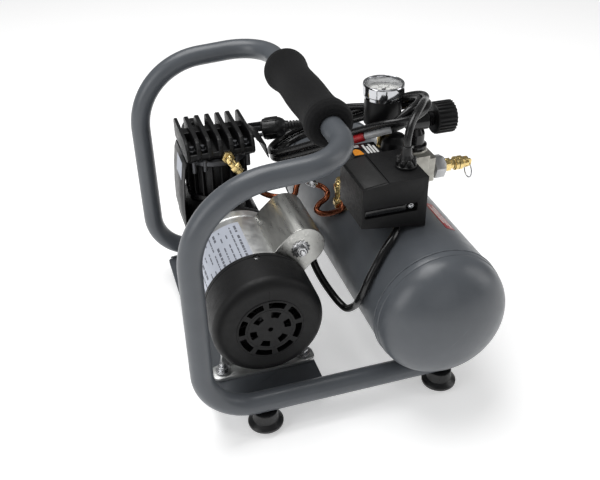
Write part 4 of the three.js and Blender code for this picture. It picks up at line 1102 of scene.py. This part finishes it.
QX, QY = 243, 8
stem = merge(rod(5, 208.4, 216, "z", (QX, QY, 0), 32), nut(11, 234.5, 241.8, (QX, QY, 0)),
             rod(4.6, 215, 236, "z", (QX, QY, 0), 32))
piece("gauge_stem", stem, brass, bevel=0.25)
can = lathe([(0, 242), (18.6, 242), (20, 243.4), (20, 277.4), (18.6, 277.4), (18.6, 277.9), (0, 277.9)], "z",
            (QX, QY, 0), 96, soft=0.8)
piece("gauge_can", can, satin_black, stands_for="gauge_case")
bezel = lathe([(20.05, 278.6), (21.2, 271.4), (21.4, 275.8), (22.2, 276.8), (22.3, 286.4), (21.7, 287.8),
               (20.7, 288), (19.9, 287.1), (19.6, 285.7), (19.6, 277.5), (20.05, 277.2), (20.05, 278.6)],
              "z", (QX, QY, 0), 128, soft=0.35)
piece("gauge_bezel", bezel, chrome, sharp=50)
piece("gauge_dial", rod(19.5, 278, 278.5, "z", (QX, QY, 0), 96), dial_white)
marks = []
for k in range(31):
    a = math.radians(90 - 9 * k)
    major = k % 5 == 0
    r0, r1, w = (12.8, 16.9, 0.42) if major else (14.9, 16.9, 0.2)
    direction, across_mark = V(math.cos(a), math.sin(a), 0), V(-math.sin(a), math.cos(a), 0)
    corners = [direction * r0 + across_mark * w, direction * r0 - across_mark * w,
               direction * r1 - across_mark * w, direction * r1 + across_mark * w]
    marks.append(prism([(QX + c.x, QY + c.y) for c in corners], "z", 278.45, 278.6))
marks.append(lathe([(17.2, 278.45), (17.6, 278.45), (17.6, 278.6), (17.2, 278.6), (17.2, 278.45)], "z",
                   (QX, QY, 0), 96))
piece("gauge_marks", merge(*marks), black_ink)


def digits(text, size, cx, cy, z):
    """Plain block digits for the dial, one small bar for each lit stroke."""
    strokes = {"0": "abcdef", "1": "bc", "2": "abged", "3": "abgcd", "4": "fgbc", "5": "afgcd", "6": "afgedc",
               "8": "abcdefg", "9": "abfgcd", "7": "abc"}
    w, h, t = size * 0.5, size, size * 0.14
    spots = {"a": (0, h / 2, w, t), "g": (0, 0, w, t), "d": (0, -h / 2, w, t), "b": (w / 2, h / 4, t, h / 2),
             "c": (w / 2, -h / 4, t, h / 2), "e": (-w / 2, -h / 4, t, h / 2), "f": (-w / 2, h / 4, t, h / 2)}
    shells = []
    start = cx - (len(text) - 1) * size * 0.42
    for i, letter in enumerate(text):
        for s in strokes[letter]:
            dx, dy, sx, sy = spots[s]
            x, y = start + i * size * 0.84 + dx, cy + dy
            shells.append(block(x - sx / 2, x + sx / 2, y - sy / 2, y + sy / 2, z, z + 0.15))
    return shells


numbers = []
for k, text in enumerate(("0", "50", "100", "150", "200", "250", "300")):
    a = math.radians(225 - 45 * k)
    numbers += digits(text, 2.3, QX + 10 * math.cos(a), QY + 10 * math.sin(a), 278.45)
piece("gauge_numbers", merge(*numbers), black_ink)
needle = prism([(QX - 0.75, QY - 6), (QX + 0.75, QY - 6), (QX + 0.5, QY), (QX + 0.16, QY + 14.5),
                (QX - 0.16, QY + 14.5), (QX - 0.5, QY)], "z", 279.2, 279.7)
needle = turned_by(needle, "Z", 135, (QX, QY, 0))
piece("needle_body",
      merge(needle,
            lathe([(0, 278.7), (2.2, 278.7), (2.0, 280.4), (0, 280.7)], "z", (QX, QY, 0), 32, soft=0.3)),
      black_ink, body="gauge_needle",
      stands_for="gauge_needle", bevel=0.08)
piece("lens_disc",
      lathe([(0, 284.7), (19.5, 284.7), (19.5, 285.7), (0, 286.3)], "z", (QX, QY, 0), 96, soft=0.2), glass,
      stands_for="gauge_lens")

# ------------------------------------------------------------------ outlet, safety valve, quick coupler
OX, OY, OZ = 303.3, 2, 180
outlet = merge(turned_by(nut(23.2, OX + 0.4, OX + 14, (0, OY, OZ), "x"), "X", 18, (0, OY, OZ)),
               rod(10.5, OX, OX + 3, "x", (0, OY, OZ), 48, soft=0.5),
               lathe([(0, OX + 13), (10.4, OX + 13), (9.8, OX + 14.9), (0, OX + 14.9)], "x", (0, OY, OZ), 48,
                     soft=0.5))
piece("outlet_hex", outlet, hex_grey, stands_for="outlet_adapter", bevel=0.7)
LX = OX + 15.3
valve = merge(
    nut(14.6, LX, LX + 7, (0, OY, OZ), "x"),
    lathe([(0, LX + 6.5), (6.6, LX + 6.5), (6.6, LX + 7.6), (5.6, LX + 8.4), (5.6, LX + 11), (6.6, LX + 11.8),
           (6.6, LX + 12.4), (8, LX + 13), (8, LX + 15.4), (7.3, LX + 16), (7.3, LX + 17.4),
           (8, LX + 18), (8, LX + 22), (6.4, LX + 23.4), (6.4, LX + 29.6), (5.6, LX + 30), (0, LX + 30)], "x",
          (0, OY, OZ), 56, soft=0.3),
)
vents = [turned_by(rod(1.25, 4, 10, "z", (LX + 26.4, OY, OZ), 16), "X", a, (0, OY, OZ))
         for a in (0, 60, 120, 180, 240, 300)]
piece("safety_valve", valve, brass, stands_for="safety_valve_body", bevel=0.3,
      holes=[merge(*vents)])
lug = prism(rounded([(LX + 30, OZ - 6), (LX + 35, OZ - 6), (LX + 35, OZ + 2), (LX + 33.6, OZ + 3),
                     (LX + 30, OZ + 3)], 1.2), "y", OY - 1.5, OY + 1.5)
eye = rod(1.45, OY - 4, OY + 4, "y", (LX + 32.5, 0, OZ - 3.2), 20)
piece("safety_stem", merge(lug, rod(2.6, LX + 9, LX + 30.5, "x", (0, OY, OZ), 28)), brass,
      body="safety_valve_stem",
      stands_for="safety_valve_stem", bevel=0.25, holes=[eye])
piece("split_ring", torus((LX + 32.5, OY, OZ - 3.2 - 8.5), "x", 8.5, 0.8, 72, 14), steel, body="pull_ring",
      stands_for="pull_ring")

coupler = lathe([(0, 23.3), (9, 23.3), (9, 30), (7.2, 31), (7.2, 46.8), (7.6, 47.4), (7.6, 49.2), (4.6, 49.2),
                 (4.2, 48), (4.2, 29.4), (0, 29.4)], "y", (COUPLER_X, 0, COUPLER_Z), 56, soft=0.3)
piece("coupler_core", merge(coupler, nut(15.4, 24, 29.6, (COUPLER_X, 0, COUPLER_Z), "y", bore=6)), brass,
      stands_for="quick_coupler", bevel=0.25)
sleeve_rows = [torus((COUPLER_X, y, COUPLER_Z), "y", 10.1, 0.4, 56, 8) for y in (37.5, 39, 40.5, 42)]
piece("coupler_collar",
      merge(lathe([(7.9, 35.3), (9.8, 35.3), (10.2, 36.2), (10.2, 43.6), (9.8, 45.3), (7.9, 45.3),
                   (7.9, 35.3)], "y", (COUPLER_X, 0, COUPLER_Z), 64, soft=0.3), *sleeve_rows), steel,
      body="coupler_sleeve", stands_for="coupler_sleeve")

# ------------------------------------------------------------------ inner nodes that stay as they are
inner = {"handle_tube": paint, "capacitor": plastic, "stator": laminated, "rotor": laminated,
         "front_bearing": steel, "rear_bearing": steel,
         "cooling_fan": cover_plastic, "crank": steel, "piston": cast_silver}
for name, material in inner.items():
    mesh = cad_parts[name].data
    mesh.materials.clear()
    mesh.materials.append(material)
